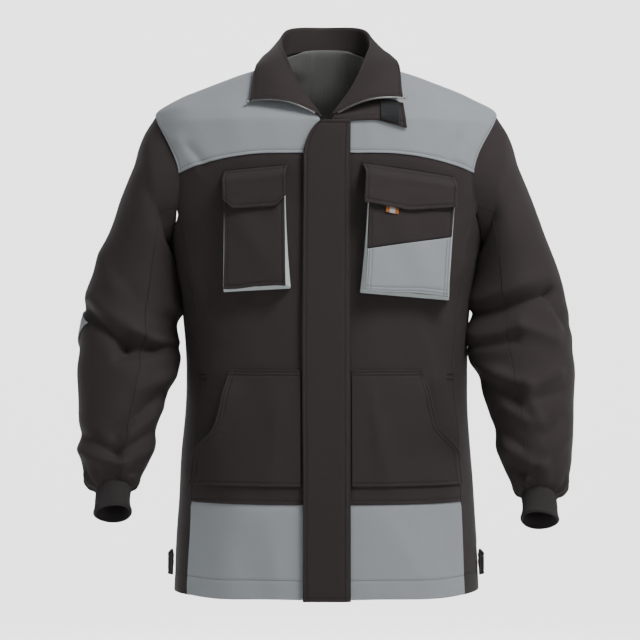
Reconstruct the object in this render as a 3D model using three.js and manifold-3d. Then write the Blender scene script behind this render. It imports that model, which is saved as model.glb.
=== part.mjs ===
// A zip-fronted work jacket: cloth panels, collar, storm flap, pockets, sleeves, cuffs and zip.
// Units are millimetres. +Z is up, the front faces -Y, and the wearer's left is +X.
import * as THREE from 'three';
import { mergeVertices } from 'three/addons/utils/BufferGeometryUtils.js';
import Module from 'manifold-3d';

const wasm = await Module();
wasm.setup();

// ---- Driving dimensions -------------------------------------------------------------------
const bodyLength = 742;            // hem to the neck point on the shoulder line
const hemHalfWidth = 217;
const waistHalfWidth = 200;
const underarmHalfWidth = 222;
const shoulderHalfWidth = 243;
const hemFrontDepth = 150;         // from the middle plane forward to the cloth at the hem
const frontLean = 0.05;            // the straight front leans back this much for each mm of height
const hemBackDepth = 148;
const waistBackDepth = 133;
const backDepth = 150;             // at the shoulder blades
const sectionPower = 2.5;          // roundness of the body's cross-sections, 2 is an ellipse

const neckHalfWidth = 76;
const neckFrontDrop = 87;          // neck point down to the top of the closed front
const neckBackRise = 25;           // neck point up to the neck seam at the back
const shoulderDrop = 73;           // neck point down to the shoulder tip
const armholeHeight = 191;
const armholeHalfDepth = 78;
const waistDrop = 442;
const yokeFrontDrop = 135;
const yokeCornerDrop = 160;        // the yoke's lower edge at the armhole
const yokeBackDrop = 142;
const liningTurn = 1.0;            // half of the lining's width, in radians around the body
const liningGap = 3;
const liningCloth = 1.4;
const hemPanelHeight = 128;
const liningDrop = 132;            // neck point down to the lining's lower edge, above the yoke's
const backSeamHemTurn = 1.96;      // where the back side seam meets the hem, in radians around

const cloth = 2.2;                 // thickness of a body panel
const thinCloth = 2;               // thickness of pocket and patch cloth
const clearance = 0.4;             // between pieces that are sewn together
const seamAngle = 0.0016;          // half of a side seam's gap, in radians around the body

const frontGap = 7;                // middle line to the edge of a front panel
const teethWidth = 2.8;
const teethGap = 0.6;              // middle line to the teeth
const teethDepth = 3.4;
const tapeThickness = 0.8;
const tapeWidth = 14;

const flapSewnEdge = 33;           // storm flap, from the middle line
const flapFreeEdge = 32;
const stormFlapThickness = 2.7;
const stormFlapStandOff = 3.9;     // front panel to the inside of the storm flap
const stormFlapCornerWidth = 27;
const stormFlapCornerHeight = 50;

const patchThickness = 1.1;        // hook or loop tape
const patchSeat = 0.3;             // cloth to the patch sewn on it
const flapLip = 3;                 // turned-in edge by which a flap is sewn on
const lipSeat = 0.7;               // body to the turned-in edge of a pocket flap
const lipOverlap = 0.2;            // a turned-in edge is joined to its flap over this depth

const chestPockets = {
  right: { x: -95, top: 563, width: 92, length: 140, roll: -0.05, flapDrop: 52, point: 0, chamfer: 10 },
  left: { x: 114, top: 558, width: 126, length: 144, roll: 0.08, flapDrop: 43, point: 8, chamfer: 0 },
};
const pocketTopDepth = 13;         // room between the body and the pocket's front, at the top
const pocketBottomDepth = 19;
const pocketFlare = 8;             // the gusset's foot is this much wider than the pocket's front
const gussetLift = 1.95;           // body panel to the gusset's foot
const flapOverhang = 2;            // a pocket flap is this much wider than its pocket on each side
const flapRise = 25;               // pocket's front edge up to the flap's sewn edge
const slantInner = -66;            // seam between the left pocket's two colours, at the zip's side
const slantOuter = -56;            // and at the arm's side

const handPocketTop = 311;
const handPocketBottom = 153;
const handPocketMouthTop = 131;    // where the mouth meets the top edge, from the middle line
const handPocketMouthHeight = 190; // where the mouth meets the side seam
const handPocketInset = 1.2;       // storm flap's sewn edge to the pocket
const handPocketBulge = 14;        // how far the slack mouth stands off the body
const handPocketLift = 1.45;       // body panel to the inside of the pocket's sewn edges

const collarRoll = [               // roll line, back middle to front, from the neck point
  [0, 80, 61], [49, 60, 57], [62, 8, 33], [54, -54, 1], [36, -94, -43], [9, -115, -83],
];
const collarThickness = 2.4;
const collarBackHeight = [-4, -6]; // outer edge from the neck point, back middle and shoulder line
const collarFrontX = [92, 99, 104];          // outer edge from the shoulder line to the front tip
const collarFrontHeight = [-6, -27, -66];
const collarLift = { right: 7, left: 13 };   // body to the outer edge of each collar leaf
const collarFold = 3.4;            // the turned-over half starts this far outside the roll

const hemTabHeight = 36;           // middle of the tab above the hem
const hemTabWidth = 30;
const hemTabLength = 78;
const hemTabThickness = 2.5;
const hemTabStandOff = 5;
const hemTabSeat = 0.9;            // side panel to the tab's turned-in end

const sleeveCloth = 2.4;
const sleeveSeam = 1.95;           // turn around the sleeve from its outer line to either seam
const sleeveSeamGap = 0.006;
const patchRings = [5, 8];         // the elbow patch lies between these sleeve rings
const patchLift = 1.5;
const cuffThickness = 2.6;
const cuffLength = 38;
const sleeveDrop = { right: 0, left: 9 };    // the forearm on the left hangs a little lower

const colours = {
  dark: 0x2c2725, grey: 0x9aa0a4, lining: 0x535854, rib: 0x2a2927, metal: 0xb9b9b4,
  gusset: 0xc7cfcd, tape: 0x262322, hook: 0x2f2f30, orange: 0xc46f2c,
};

// ---- Heights worked out from the driving dimensions -----------------------------------------
const neckFront = bodyLength - neckFrontDrop;
const shoulderTip = bodyLength - shoulderDrop;
const underarm = shoulderTip - armholeHeight;
const armholeMiddle = shoulderTip - armholeHeight / 2;
const waist = bodyLength - waistDrop;
const neckBack = bodyLength + neckBackRise;
const sides = { right: -1, left: 1 };

const mix = (a, b, t) => a + (b - a) * t;
const clamp01 = (t) => Math.min(1, Math.max(0, t));
const smooth = (t) => clamp01(t) ** 2 * (3 - 2 * clamp01(t));

// A smooth curve through [height, value] pairs that never swings past them.
function throughPoints(points) {
  const slope = points.slice(1).map(([z, v], i) => (v - points[i][1]) / (z - points[i][0]));
  const tangent = points.map((_, i) => {
    const before = slope[Math.max(0, i - 1)];
    const after = slope[Math.min(slope.length - 1, i)];
    return before * after <= 0 ? 0 : (2 * before * after) / (before + after);
  });
  return (z) => {
    const last = points.length - 2;
    let i = points.findIndex(([height]) => z < height) - 1;
    if (i < 0) i = z < points[0][0] ? 0 : last;
    const h = points[i + 1][0] - points[i][0];
    const t = clamp01((z - points[i][0]) / h);
    const [a, b] = [points[i][1], points[i + 1][1]];
    return a * (1 + 2 * t) * (1 - t) ** 2 + tangent[i] * h * t * (1 - t) ** 2
      + b * t * t * (3 - 2 * t) - tangent[i + 1] * h * t * t * (1 - t);
  };
}

// ---- The body's surface ---------------------------------------------------------------------
const halfWidth = throughPoints([
  [0, hemHalfWidth], [waist / 2, mix(hemHalfWidth, waistHalfWidth, 0.47)], [waist, waistHalfWidth],
  [mix(waist, underarm, 0.56), mix(waistHalfWidth, underarmHalfWidth, 0.27)],
  [underarm, underarmHalfWidth], [mix(underarm, shoulderTip, 0.43), shoulderHalfWidth - 5],
  [shoulderTip - 30, shoulderHalfWidth], [shoulderTip, shoulderHalfWidth - 2],
  [mix(shoulderTip, bodyLength, 0.3), mix(neckHalfWidth, shoulderHalfWidth, 0.79)],
  [mix(shoulderTip, bodyLength, 0.7), mix(neckHalfWidth, shoulderHalfWidth, 0.36)],
  [bodyLength, neckHalfWidth], [neckBack, neckHalfWidth - 10],
]);
const straightFront = (z) => hemFrontDepth - frontLean * z;
const upperFront = throughPoints([
  [neckFront, straightFront(neckFront)], [shoulderTip, straightFront(neckFront) - 9],
  [mix(shoulderTip, bodyLength, 0.3), 92], [mix(shoulderTip, bodyLength, 0.7), 77],
  [bodyLength, 71], [neckBack, 60],
]);
const frontDepth = (z) => (z < neckFront ? straightFront(z) : upperFront(z));
const rearDepth = throughPoints([
  [0, hemBackDepth], [waist, waistBackDepth], [underarm, backDepth - 1],
  [mix(underarm, shoulderTip, 0.43), backDepth], [shoulderTip, backDepth - 30],
  [mix(shoulderTip, bodyLength, 0.5), backDepth - 50], [bodyLength, 86], [neckBack, 76],
]);

// A point on the body: turn runs from the front middle (0) by the left side (pi / 2) to the back.
function surfacePoint(turn, z) {
  const across = Math.sin(turn);
  const ahead = Math.cos(turn);
  const depth = ahead > 0 ? frontDepth(z) : rearDepth(z);
  const x = halfWidth(z) * Math.sign(across) * Math.abs(across) ** (2 / sectionPower);
  const y = -depth * Math.sign(ahead) * Math.abs(ahead) ** (2 / sectionPower);
  return new THREE.Vector3(x, y, z);
}

function surfaceNormal(turn, z) {
  const around = surfacePoint(turn + 0.03, z).sub(surfacePoint(turn - 0.03, z));
  const up = surfacePoint(turn, z + 1.5).sub(surfacePoint(turn, z - 1.5));
  return around.cross(up).normalize();
}

const bodyPoint = (turn, z, offset) =>
  surfacePoint(turn, z).addScaledVector(surfaceNormal(turn, z), offset);

// The turn at a distance from the middle plane, and at a distance before or behind the side.
const turnAtX = (x, z) =>
  Math.sign(x) * Math.asin(clamp01(Math.abs(x) / halfWidth(z)) ** (sectionPower / 2));
const turnAtY = (ahead, z) => {
  const depth = ahead > 0 ? frontDepth(z) : rearDepth(z);
  const share = clamp01(Math.abs(ahead) / depth) ** (sectionPower / 2);
  return ahead > 0 ? Math.acos(share) : Math.PI - Math.acos(share);
};

// ---- Seam lines -----------------------------------------------------------------------------
const armholeReach = (z) => {
  const share = (z - armholeMiddle) / (armholeHeight / 2);
  return armholeHalfDepth * Math.sqrt(Math.max(0, 1 - share * share));
};
const seamTop = armholeMiddle - 0.29 * (armholeHeight / 2);   // side seams meet the armhole here
const frontSeamX = throughPoints([
  [0, 0.89 * hemHalfWidth], [hemPanelHeight, 0.9 * hemHalfWidth], [waist, 0.885 * waistHalfWidth],
  [mix(waist, underarm, 0.7), 0.85 * underarmHalfWidth], [seamTop, 0.868 * shoulderHalfWidth],
]);
const frontSeamTurn = (z) => (z < seamTop
  ? Math.min(turnAtX(frontSeamX(z), z), turnAtY(armholeReach(seamTop), seamTop) + 0.05)
  : turnAtY(armholeReach(z), z));
const backSeamTurn = (z) => (z < seamTop
  ? mix(backSeamHemTurn, turnAtY(-armholeReach(seamTop), seamTop), smooth(z / seamTop))
  : turnAtY(-armholeReach(z), z));
const neckX = throughPoints([
  [neckFront, frontGap], [neckFront + 12, frontGap + 10],
  [mix(neckFront, bodyLength, 0.5), 0.56 * neckHalfWidth], [bodyLength, neckHalfWidth - 3],
]);
const innerTurn = (z) => turnAtX(z < neckFront ? frontGap : neckX(z), z);
const yokeSeam = (share) =>
  bodyLength - mix(yokeFrontDrop, yokeCornerDrop, Math.max(0, share - 0.25) ** 1.4 * 1.5);
const neckTop = (turn) => {
  const towardsBack = clamp01(turn / (Math.PI / 2) - 1);
  return bodyLength + neckBackRise * Math.sin(towardsBack * Math.PI / 2);
};

// ---- Solids ---------------------------------------------------------------------------------
// One closed solid between two grids of points; closed grids also join their first and last column.
function sheetSolid(outer, inner, closed = false) {
  const rows = outer.length;
  const columns = outer[0].length;
  const corners = [...outer.flat(), ...inner.flat()];
  const at = (layer, row, column) => layer * rows * columns + row * columns + (column % columns);
  const faces = [];
  const quad = (a, b, c, d) => faces.push(a, b, c, a, c, d);
  const steps = closed ? columns : columns - 1;
  for (let r = 0; r < rows - 1; r += 1) {
    for (let c = 0; c < steps; c += 1) {
      quad(at(0, r, c), at(0, r, c + 1), at(0, r + 1, c + 1), at(0, r + 1, c));
      quad(at(1, r, c), at(1, r + 1, c), at(1, r + 1, c + 1), at(1, r, c + 1));
    }
  }
  for (let c = 0; c < steps; c += 1) {
    quad(at(0, 0, c), at(1, 0, c), at(1, 0, c + 1), at(0, 0, c + 1));
    quad(at(0, rows - 1, c), at(0, rows - 1, c + 1), at(1, rows - 1, c + 1), at(1, rows - 1, c));
  }
  if (!closed) {
    const end = columns - 1;
    for (let r = 0; r < rows - 1; r += 1) {
      quad(at(0, r, 0), at(0, r + 1, 0), at(1, r + 1, 0), at(1, r, 0));
      quad(at(0, r, end), at(1, r, end), at(1, r + 1, end), at(0, r + 1, end));
    }
  }
  const geometry = new THREE.BufferGeometry().setFromPoints(corners);
  geometry.setIndex(faces);
  return facingOut(geometry);
}

// Turns a closed geometry the right way out.
function facingOut(geometry) {
  const place = geometry.getAttribute('position');
  const index = geometry.getIndex();
  const [a, b, c] = [new THREE.Vector3(), new THREE.Vector3(), new THREE.Vector3()];
  let volume = 0;
  for (let i = 0; i < index.count; i += 3) {
    a.fromBufferAttribute(place, index.getX(i));
    b.fromBufferAttribute(place, index.getX(i + 1));
    c.fromBufferAttribute(place, index.getX(i + 2));
    volume += a.dot(b.cross(c));
  }
  if (volume < 0) {
    const flipped = [];
    for (let i = 0; i < index.count; i += 3) {
      flipped.push(index.getX(i), index.getX(i + 2), index.getX(i + 1));
    }
    geometry.setIndex(flipped);
  }
  geometry.computeVertexNormals();
  return geometry;
}

function grid(rows, columns, point) {
  return Array.from({ length: rows + 1 }, (_, r) =>
    Array.from({ length: columns + 1 }, (_, c) => point(c / columns, r / rows)));
}

// A body panel: where(u, v) gives [turn, height, lift]; lift raises the cloth off the body.
function bodyPanel(rows, columns, where, outside = 0, thickness = cloth) {
  const layer = (offset) => grid(rows, columns, (u, v) => {
    const [turn, z, lift = 0] = where(u, v);
    return bodyPoint(turn, z, offset + lift);
  });
  return sheetSolid(layer(outside), layer(outside - thickness));
}

const jacket = new THREE.Group();
jacket.name = 'jacket';
jacket.position.z = -bodyLength;

function add(name, geometry, colour, parent = jacket, roughness = 0.85, metalness = 0) {
  const material = new THREE.MeshStandardMaterial({ color: colour, roughness, metalness });
  const mesh = new THREE.Mesh(geometry, material);
  mesh.name = name;
  parent.add(mesh);
  return mesh;
}

function plate(outline, thickness) {
  const geometry = new THREE.ExtrudeGeometry(outline, {
    depth: thickness, bevelEnabled: false, curveSegments: 5,
  });
  return geometry.rotateX(Math.PI / 2);   // the outline stands in XZ and thickens towards -Y
}

function outlineOf(points) {
  return new THREE.Shape(points.map(([x, z]) => new THREE.Vector2(x, z)));
}

const block = (x, y, z) => new THREE.BoxGeometry(x, y, z);

function toSolid(geometry) {
  const bare = new THREE.BufferGeometry();
  bare.setAttribute('position', geometry.getAttribute('position'));
  if (geometry.getIndex()) bare.setIndex(geometry.getIndex());
  const merged = mergeVertices(bare, 1e-4);
  return new wasm.Manifold(new wasm.Mesh({
    numProp: 3,
    vertProperties: merged.getAttribute('position').array,
    triVerts: Uint32Array.from(merged.getIndex().array),
  }));
}

function fromSolid(solid) {
  const mesh = solid.getMesh();
  const geometry = new THREE.BufferGeometry();
  geometry.setAttribute('position', new THREE.BufferAttribute(mesh.vertProperties.slice(), mesh.numProp));
  geometry.setIndex(new THREE.BufferAttribute(mesh.triVerts.slice(), 1));
  geometry.computeVertexNormals();
  return geometry;
}

const joined = (...geometries) => fromSolid(geometries.map(toSolid).reduce((a, b) => a.add(b)));

// ---- Body panels ----------------------------------------------------------------------------
// Panels that share a seam share these rows, so that their edges follow the same line.
const hemRows = 2;
const sideRows = 7;
const topRows = 2;
function rowHeight(row, top) {
  if (row <= hemRows) return mix(0, hemPanelHeight, row / hemRows);
  if (row <= hemRows + sideRows) return mix(hemPanelHeight, seamTop, (row - hemRows) / sideRows);
  return mix(seamTop, top, (row - hemRows - sideRows) / topRows);
}

function frontPanel(side) {
  return bodyPanel(sideRows + topRows, 6, (u, v) => {
    const row = hemRows + v * (sideRows + topRows);
    const z = rowHeight(row, yokeSeam(u) - clearance) + (v === 0 ? clearance : 0);
    return [side * mix(innerTurn(z), frontSeamTurn(z) - seamAngle, u), z];
  });
}

function hemPanel(side) {
  return bodyPanel(hemRows, 6, (u, v) => {
    const z = rowHeight(v * hemRows);
    return [side * mix(innerTurn(z), frontSeamTurn(z) - seamAngle, u), z];
  });
}

// The armhole's lower edge, where a line at one share of the way between the side seams meets it.
function underarmHeight(share) {
  let z = underarm;
  for (let i = 0; i < 12; i += 1) {
    const turn = mix(frontSeamTurn(z), backSeamTurn(z), share);
    const reach = clamp01(Math.abs(surfacePoint(turn, z).y) / armholeHalfDepth);
    const target = armholeMiddle - (armholeHeight / 2) * Math.sqrt(1 - reach * reach);
    z = mix(z, Math.min(target, seamTop), 0.6);
  }
  return z;
}

function sidePanel(side) {
  return bodyPanel(hemRows + sideRows, 8, (u, v) => {
    const dip = underarmHeight(u) - seamTop - 2 * clearance;
    const z = rowHeight(v * (hemRows + sideRows)) + dip * v ** 3;
    return [side * mix(frontSeamTurn(z) + seamAngle, backSeamTurn(z) - seamAngle, u), z];
  });
}

function backPanel() {
  return bodyPanel(hemRows + sideRows + topRows, 12, (u, v) => {
    const z = rowHeight(v * (hemRows + sideRows + topRows), bodyLength - yokeBackDrop);
    const edge = Math.PI - backSeamTurn(z) - seamAngle;
    return [Math.PI + mix(-edge, edge, u), z];
  });
}

// From the armhole's edge to the shoulder line.
const shoulderTurn = (z, seam) => (z < shoulderTip ? seam(z) : Math.PI / 2);

function frontYoke(side) {
  return bodyPanel(9, 7, (u, v) => {
    const z = mix(yokeSeam(u), bodyLength - 3, v);
    const outer = Math.max(innerTurn(z) + 0.02, shoulderTurn(z, frontSeamTurn) - 2 * seamAngle);
    return [side * mix(innerTurn(z) + 2 * seamAngle, outer, u), z];
  });
}

function backYoke() {
  return bodyPanel(8, 16, (u, v) => {
    const top = neckTop(Math.PI - Math.abs(2 * u - 1) * (Math.PI / 2));
    const z = mix(bodyLength - yokeBackDrop + clearance, top, v);
    const edge = Math.PI - shoulderTurn(z, backSeamTurn) - 2 * seamAngle;
    return [Math.PI + mix(-edge, edge, u), z];
  });
}

function backLining() {
  return bodyPanel(8, 12, (u, v) => {
    const turn = Math.PI + mix(-liningTurn, liningTurn, u);
    const top = neckTop(Math.PI - Math.abs(turn - Math.PI)) - 4;
    return [turn, mix(bodyLength - liningDrop, top, v)];
  }, -cloth - liningGap, liningCloth);
}

for (const [name, side] of Object.entries(sides)) {
  add(`front_panel_${name}`, frontPanel(side), colours.dark);
  add(`front_hem_panel_${name}`, hemPanel(side), colours.grey);
  add(`side_panel_${name}`, sidePanel(side), colours.dark);
  add(`front_yoke_${name}`, frontYoke(side), colours.grey);
}
add('back_panel', backPanel(), colours.dark);
add('back_yoke', backYoke(), colours.grey);
add('back_lining', backLining(), colours.lining);

// ---- Sleeves --------------------------------------------------------------------------------
// Each ring: its outer and inner point seen from the front [x, z], how far it sits forward, its
// half depth and the forward lean of the arm there.
const elbow = shoulderTip - 310;
const wrist = shoulderTip - 523;
const ring = (out, inner, ahead, depth, lean) => ({ out, inner, ahead, depth, lean });
const sleeveRings = [
  ring([shoulderHalfWidth - 2, shoulderTip], [underarmHalfWidth, underarm], 0, armholeHalfDepth, 0),
  ring([shoulderHalfWidth + 14, shoulderTip - 28], [underarmHalfWidth, underarm - 14], 0, 80, 0),
  ring([shoulderHalfWidth + 30, shoulderTip - 71], [underarmHalfWidth, underarm - 32], 0, 80, 0),
  ring([shoulderHalfWidth + 48, shoulderTip - 123], [underarmHalfWidth - 3, underarm - 50], 0, 78, 0.02),
  ring([shoulderHalfWidth + 68, shoulderTip - 176], [underarmHalfWidth - 7, underarm - 70], 3, 75, 0.06),
  ring([shoulderHalfWidth + 87, shoulderTip - 230], [underarmHalfWidth - 10, underarm - 94], 8, 72, 0.12),
  ring([shoulderHalfWidth + 100, elbow + 33], [waistHalfWidth + 9, elbow + 1], 15, 69, 0.2),
  ring([shoulderHalfWidth + 103, elbow - 14], [waistHalfWidth + 8, elbow - 24], 26, 67, 0.28),
  ring([shoulderHalfWidth + 105, elbow - 59], [waistHalfWidth + 13, elbow - 53], 40, 64, 0.36),
  ring([shoulderHalfWidth + 103, wrist + 112], [waistHalfWidth + 24, wrist + 124], 57, 60, 0.42),
  ring([shoulderHalfWidth + 99, wrist + 76], [waistHalfWidth + 34, wrist + 86], 72, 54, 0.46),
  ring([shoulderHalfWidth + 95, wrist + 44], [waistHalfWidth + 42, wrist + 50], 86, 48, 0.5),
  ring([shoulderHalfWidth + 87, wrist + 17], [waistHalfWidth + 56, wrist + 20], 97, 37, 0.53),
  ring([shoulderHalfWidth + 75, wrist], [waistHalfWidth + 65, wrist + 4], 103, 28, 0.55),
];
const lastRing = sleeveRings.length - 1;
const wristLean = sleeveRings[lastRing].lean;
const sleeveStart = 0.01;          // up to here the sleeve's edge is laid on the body's armhole
const spineOf = (point) => new THREE.CatmullRomCurve3(sleeveRings.map(point), false, 'catmullrom', 0.4);
const outerSpine = spineOf(({ out, ahead }) => new THREE.Vector3(out[0], -ahead, out[1]));
const innerSpine = spineOf(({ inner, ahead }) => new THREE.Vector3(inner[0], -ahead, inner[1]));
const depthSpine = spineOf(({ depth, lean }) => new THREE.Vector3(depth, lean, 0));

// A point on a sleeve: t runs from the armhole to the wrist, around from the outside by the back.
function sleevePoint(side, t, around, offset) {
  const out = outerSpine.getPoint(t);
  const inn = innerSpine.getPoint(t);
  const { x: depth, y: lean } = depthSpine.getPoint(t);
  const across = out.clone().sub(inn).multiplyScalar(0.5);
  const back = new THREE.Vector3(0, Math.cos(lean), -Math.sin(lean));
  const point = out.add(inn).multiplyScalar(0.5)
    .addScaledVector(across, Math.cos(around) * (1 + offset / across.length()))
    .addScaledVector(back, Math.sin(around) * (depth + offset));
  if (t < sleeveStart) {
    const z = point.z;
    const edge = Math.abs(surfacePoint(turnAtY(-point.y, z), z).x);
    point.x = edge + clearance;
  }
  point.z -= sleeveDrop[side] * smooth((t - 0.5) * 2);
  point.x *= sides[side];
  return point;
}

function sleevePanel(side, from, to, columns) {
  const layer = (offset) => grid(lastRing, columns, (u, v) =>
    sleevePoint(side, v, mix(from, to, u), offset));
  return sheetSolid(layer(0), layer(-sleeveCloth));
}

// The elbow patch is pointed at the front, on the outside of the arm.
function elbowPatch(side) {
  const rows = patchRings[1] - patchRings[0];
  const layer = (offset) => grid(2 * rows, 7, (u, v) => {
    const start = 0.3 + 0.7 * Math.abs(2 * v - 1);
    const t = (patchRings[0] + v * rows) / lastRing;
    return sleevePoint(side, t, mix(start, sleeveSeam - 0.1, u), offset);
  });
  return sheetSolid(layer(patchLift + thinCloth), layer(patchLift));
}

// The rib cuff: a ring of cloth that carries on from the wrist along the leaning arm.
const cuffInset = 2.2;             // sleeve's outside to the cuff's outside
function cuff(side) {
  const along = new THREE.Vector3(0, -Math.sin(wristLean), -Math.cos(wristLean));
  const layer = (inset) => grid(4, 24, (u, v) => {
    const flare = 1.5 * smooth((v - 0.7) / 0.3);
    const point = sleevePoint(side, 1, u * 2 * Math.PI, flare - clearance - cuffInset - inset);
    return point.addScaledVector(along, clearance + v * cuffLength);
  }).map((row) => row.slice(0, -1));
  return sheetSolid(layer(0), layer(cuffThickness), true);
}

for (const name of Object.keys(sides)) {
  const seam = sleeveSeam - sleeveSeamGap;
  const underSeam = sleeveSeam + sleeveSeamGap;
  add(`sleeve_top_${name}`, sleevePanel(name, -seam, seam, 14), colours.dark);
  const under = sleevePanel(name, underSeam, 2 * Math.PI - underSeam, 8);
  add(`sleeve_under_${name}`, under, colours.dark);
  add(`elbow_patch_${name}`, elbowPatch(name), colours.grey);
  add(`rib_cuff_${name}`, cuff(name), colours.rib);
}

// ---- Front closure --------------------------------------------------------------------------
// The front middle is straight, so the zip and storm flap are built flat in a leaning frame:
// x across, y in from the front panels' faces, z up from the hem along the zip.
const closure = new THREE.Group();
closure.position.y = -hemFrontDepth;
closure.rotation.x = -Math.atan(frontLean);
jacket.add(closure);
const closureTop = neckFront * Math.hypot(1, frontLean);

const placed = (geometry, x, y, z) => geometry.translate(x, y, z);

const tapeGap = 0.9;
const tapeBack = cloth + tapeGap + tapeThickness;
const tapeInner = teethGap + teethWidth + clearance;
const teethMiddle = tapeBack - tapeThickness / 2;
const teethBottom = 14;
const teethTop = closureTop - 12;
const sliderLength = 12;
const sliderHalfWidth = 4.6;
const sliderPlate = 1.2;
const sliderClearance = 0.5;
const studRadius = 1.2;

function zipHalf(name, side) {
  const length = teethTop - teethBottom;
  const middle = (teethTop + teethBottom) / 2;
  const tape = block(tapeWidth, tapeThickness, length);
  placed(tape, side * (tapeInner + tapeWidth / 2), teethMiddle, middle);
  const teeth = block(teethWidth, teethDepth, length);
  placed(teeth, side * (teethGap + teethWidth / 2), teethMiddle, middle);
  add(`zip_tape_${name}`, tape, colours.tape, closure);
  add(`zip_teeth_${name}`, teeth, colours.metal, closure, 0.4, 0.8);
}

// The slider's two plates and the post between them, which runs in the gap between the teeth,
// with the headed stud that its pull hangs on.
const sliderFace = teethMiddle - teethDepth / 2 - sliderClearance - sliderPlate;
const studHeight = 2.6;
const studHead = 0.7;
const studAboveMiddle = 3;
function slider() {
  const half = teethDepth / 2 + sliderClearance;
  const z = teethTop - sliderLength / 2 - 2;
  const cover = () => block(2 * sliderHalfWidth, sliderPlate, sliderLength);
  const front = placed(cover(), 0, teethMiddle - half - sliderPlate / 2, z);
  const back = placed(cover(), 0, teethMiddle + half + sliderPlate / 2, z);
  const post = placed(block(teethGap, 2 * half + 0.4, sliderLength - 3), 0, teethMiddle, z + 1.5);
  const disc = (radius, thickness) => new THREE.CylinderGeometry(radius, radius, thickness, 12);
  const stud = placed(disc(studRadius, studHeight), 0, sliderFace - 1.1, z + studAboveMiddle);
  const head = placed(disc(studRadius + 1, studHead), 0, sliderFace - 2.4, z + studAboveMiddle);
  return joined(front, back, post, stud, head);
}

// The pull hangs on the slider's stud by an eye.
const pullWidth = 5.4;
const pullLength = 26;
const pullThickness = 1.1;
function pullTab() {
  const half = pullWidth / 2;
  const outline = new THREE.Shape();
  outline.absarc(0, 0, half + 0.6, 0, Math.PI, false);
  outline.lineTo(-half, half - pullLength);
  outline.absarc(0, half - pullLength, half, Math.PI, 2 * Math.PI, false);
  outline.closePath();
  const eye = new THREE.Path();
  eye.absarc(0, 0, studRadius + 0.3, 0, 2 * Math.PI, true);
  outline.holes.push(eye);
  const z = teethTop - sliderLength / 2 - 2 + studAboveMiddle;
  return placed(plate(outline, pullThickness), 0, sliderFace - 0.4, z);
}

function stormFlap() {
  const top = closureTop - 3;
  const outline = new THREE.Shape();
  outline.moveTo(-flapFreeEdge, 0);
  outline.lineTo(flapSewnEdge, 0);
  outline.lineTo(flapSewnEdge, top);
  outline.lineTo(-flapFreeEdge + stormFlapCornerWidth, top);
  outline.bezierCurveTo(
    -flapFreeEdge + 0.45 * stormFlapCornerWidth, top, -flapFreeEdge, top - 0.5 * stormFlapCornerHeight,
    -flapFreeEdge, top - stormFlapCornerHeight);
  const sheet = placed(plate(outline, stormFlapThickness), 0, -stormFlapStandOff, 0);
  const lipDepth = stormFlapStandOff - clearance + lipOverlap;
  const lip = block(flapLip, lipDepth, top);
  placed(lip, flapSewnEdge - flapLip / 2, -clearance - lipDepth / 2, top / 2);
  return joined(sheet, lip);
}

const stripBottom = 40;
const stripTop = closureTop - 90;
const hookStripX = -flapFreeEdge + 11;
const stripWidth = 16;
function closureStrip(y) {
  const strip = block(stripWidth, patchThickness, stripTop - stripBottom);
  return placed(strip, hookStripX, y, (stripTop + stripBottom) / 2);
}

for (const [name, side] of Object.entries(sides)) zipHalf(name, side);
add('zip_slider', slider(), colours.metal, closure, 0.4, 0.8);
add('zip_pull', pullTab(), colours.metal, closure, 0.4, 0.8);
const bottomBox = placed(block(8, 4.4, 11), 0, teethMiddle, teethBottom - clearance - 5.5);
add('zip_bottom_box', bottomBox, colours.metal, closure, 0.5, 0.7);
add('storm_flap', stormFlap(), colours.dark, closure);
const hookStrip = closureStrip(patchSeat + patchThickness / 2 - stormFlapStandOff);
add('storm_flap_hook_strip', hookStrip, colours.hook, closure);
add('front_loop_strip', closureStrip(-patchSeat - patchThickness / 2), colours.hook, closure);

// ---- Chest pockets --------------------------------------------------------------------------
// A flat frame against the body: x across, y in towards the body, z up, with its origin at the
// middle of the pocket's top edge, tipped so that the pocket stands off more at the bottom.
function pocketFrame(pocket) {
  const z = pocket.top - pocket.length / 2;
  const inward = surfaceNormal(turnAtX(pocket.x, z), z).negate();
  const across = new THREE.Vector3(0, 0, 1).cross(inward).negate().normalize();
  const upward = across.clone().cross(inward);
  const frame = new THREE.Group();
  const middle = surfacePoint(turnAtX(pocket.x, z), z);
  middle.addScaledVector(inward, -(pocketTopDepth + pocketBottomDepth) / 2);
  frame.quaternion.setFromRotationMatrix(new THREE.Matrix4().makeBasis(across, inward, upward));
  frame.rotateY(pocket.roll);
  frame.rotateX(-Math.atan((pocketBottomDepth - pocketTopDepth) / pocket.length));
  frame.position.copy(middle);
  frame.translateZ(pocket.length / 2);
  jacket.add(frame);
  frame.updateMatrixWorld(true);
  return frame;
}

// The point on the body straight behind a point of the pocket's front.
function bodyBehind(frame, x, z, lift) {
  const front = new THREE.Vector3(x, 0, z).applyMatrix4(frame.matrix);
  return bodyPoint(turnAtX(front.x, front.z), front.z, lift);
}

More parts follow.
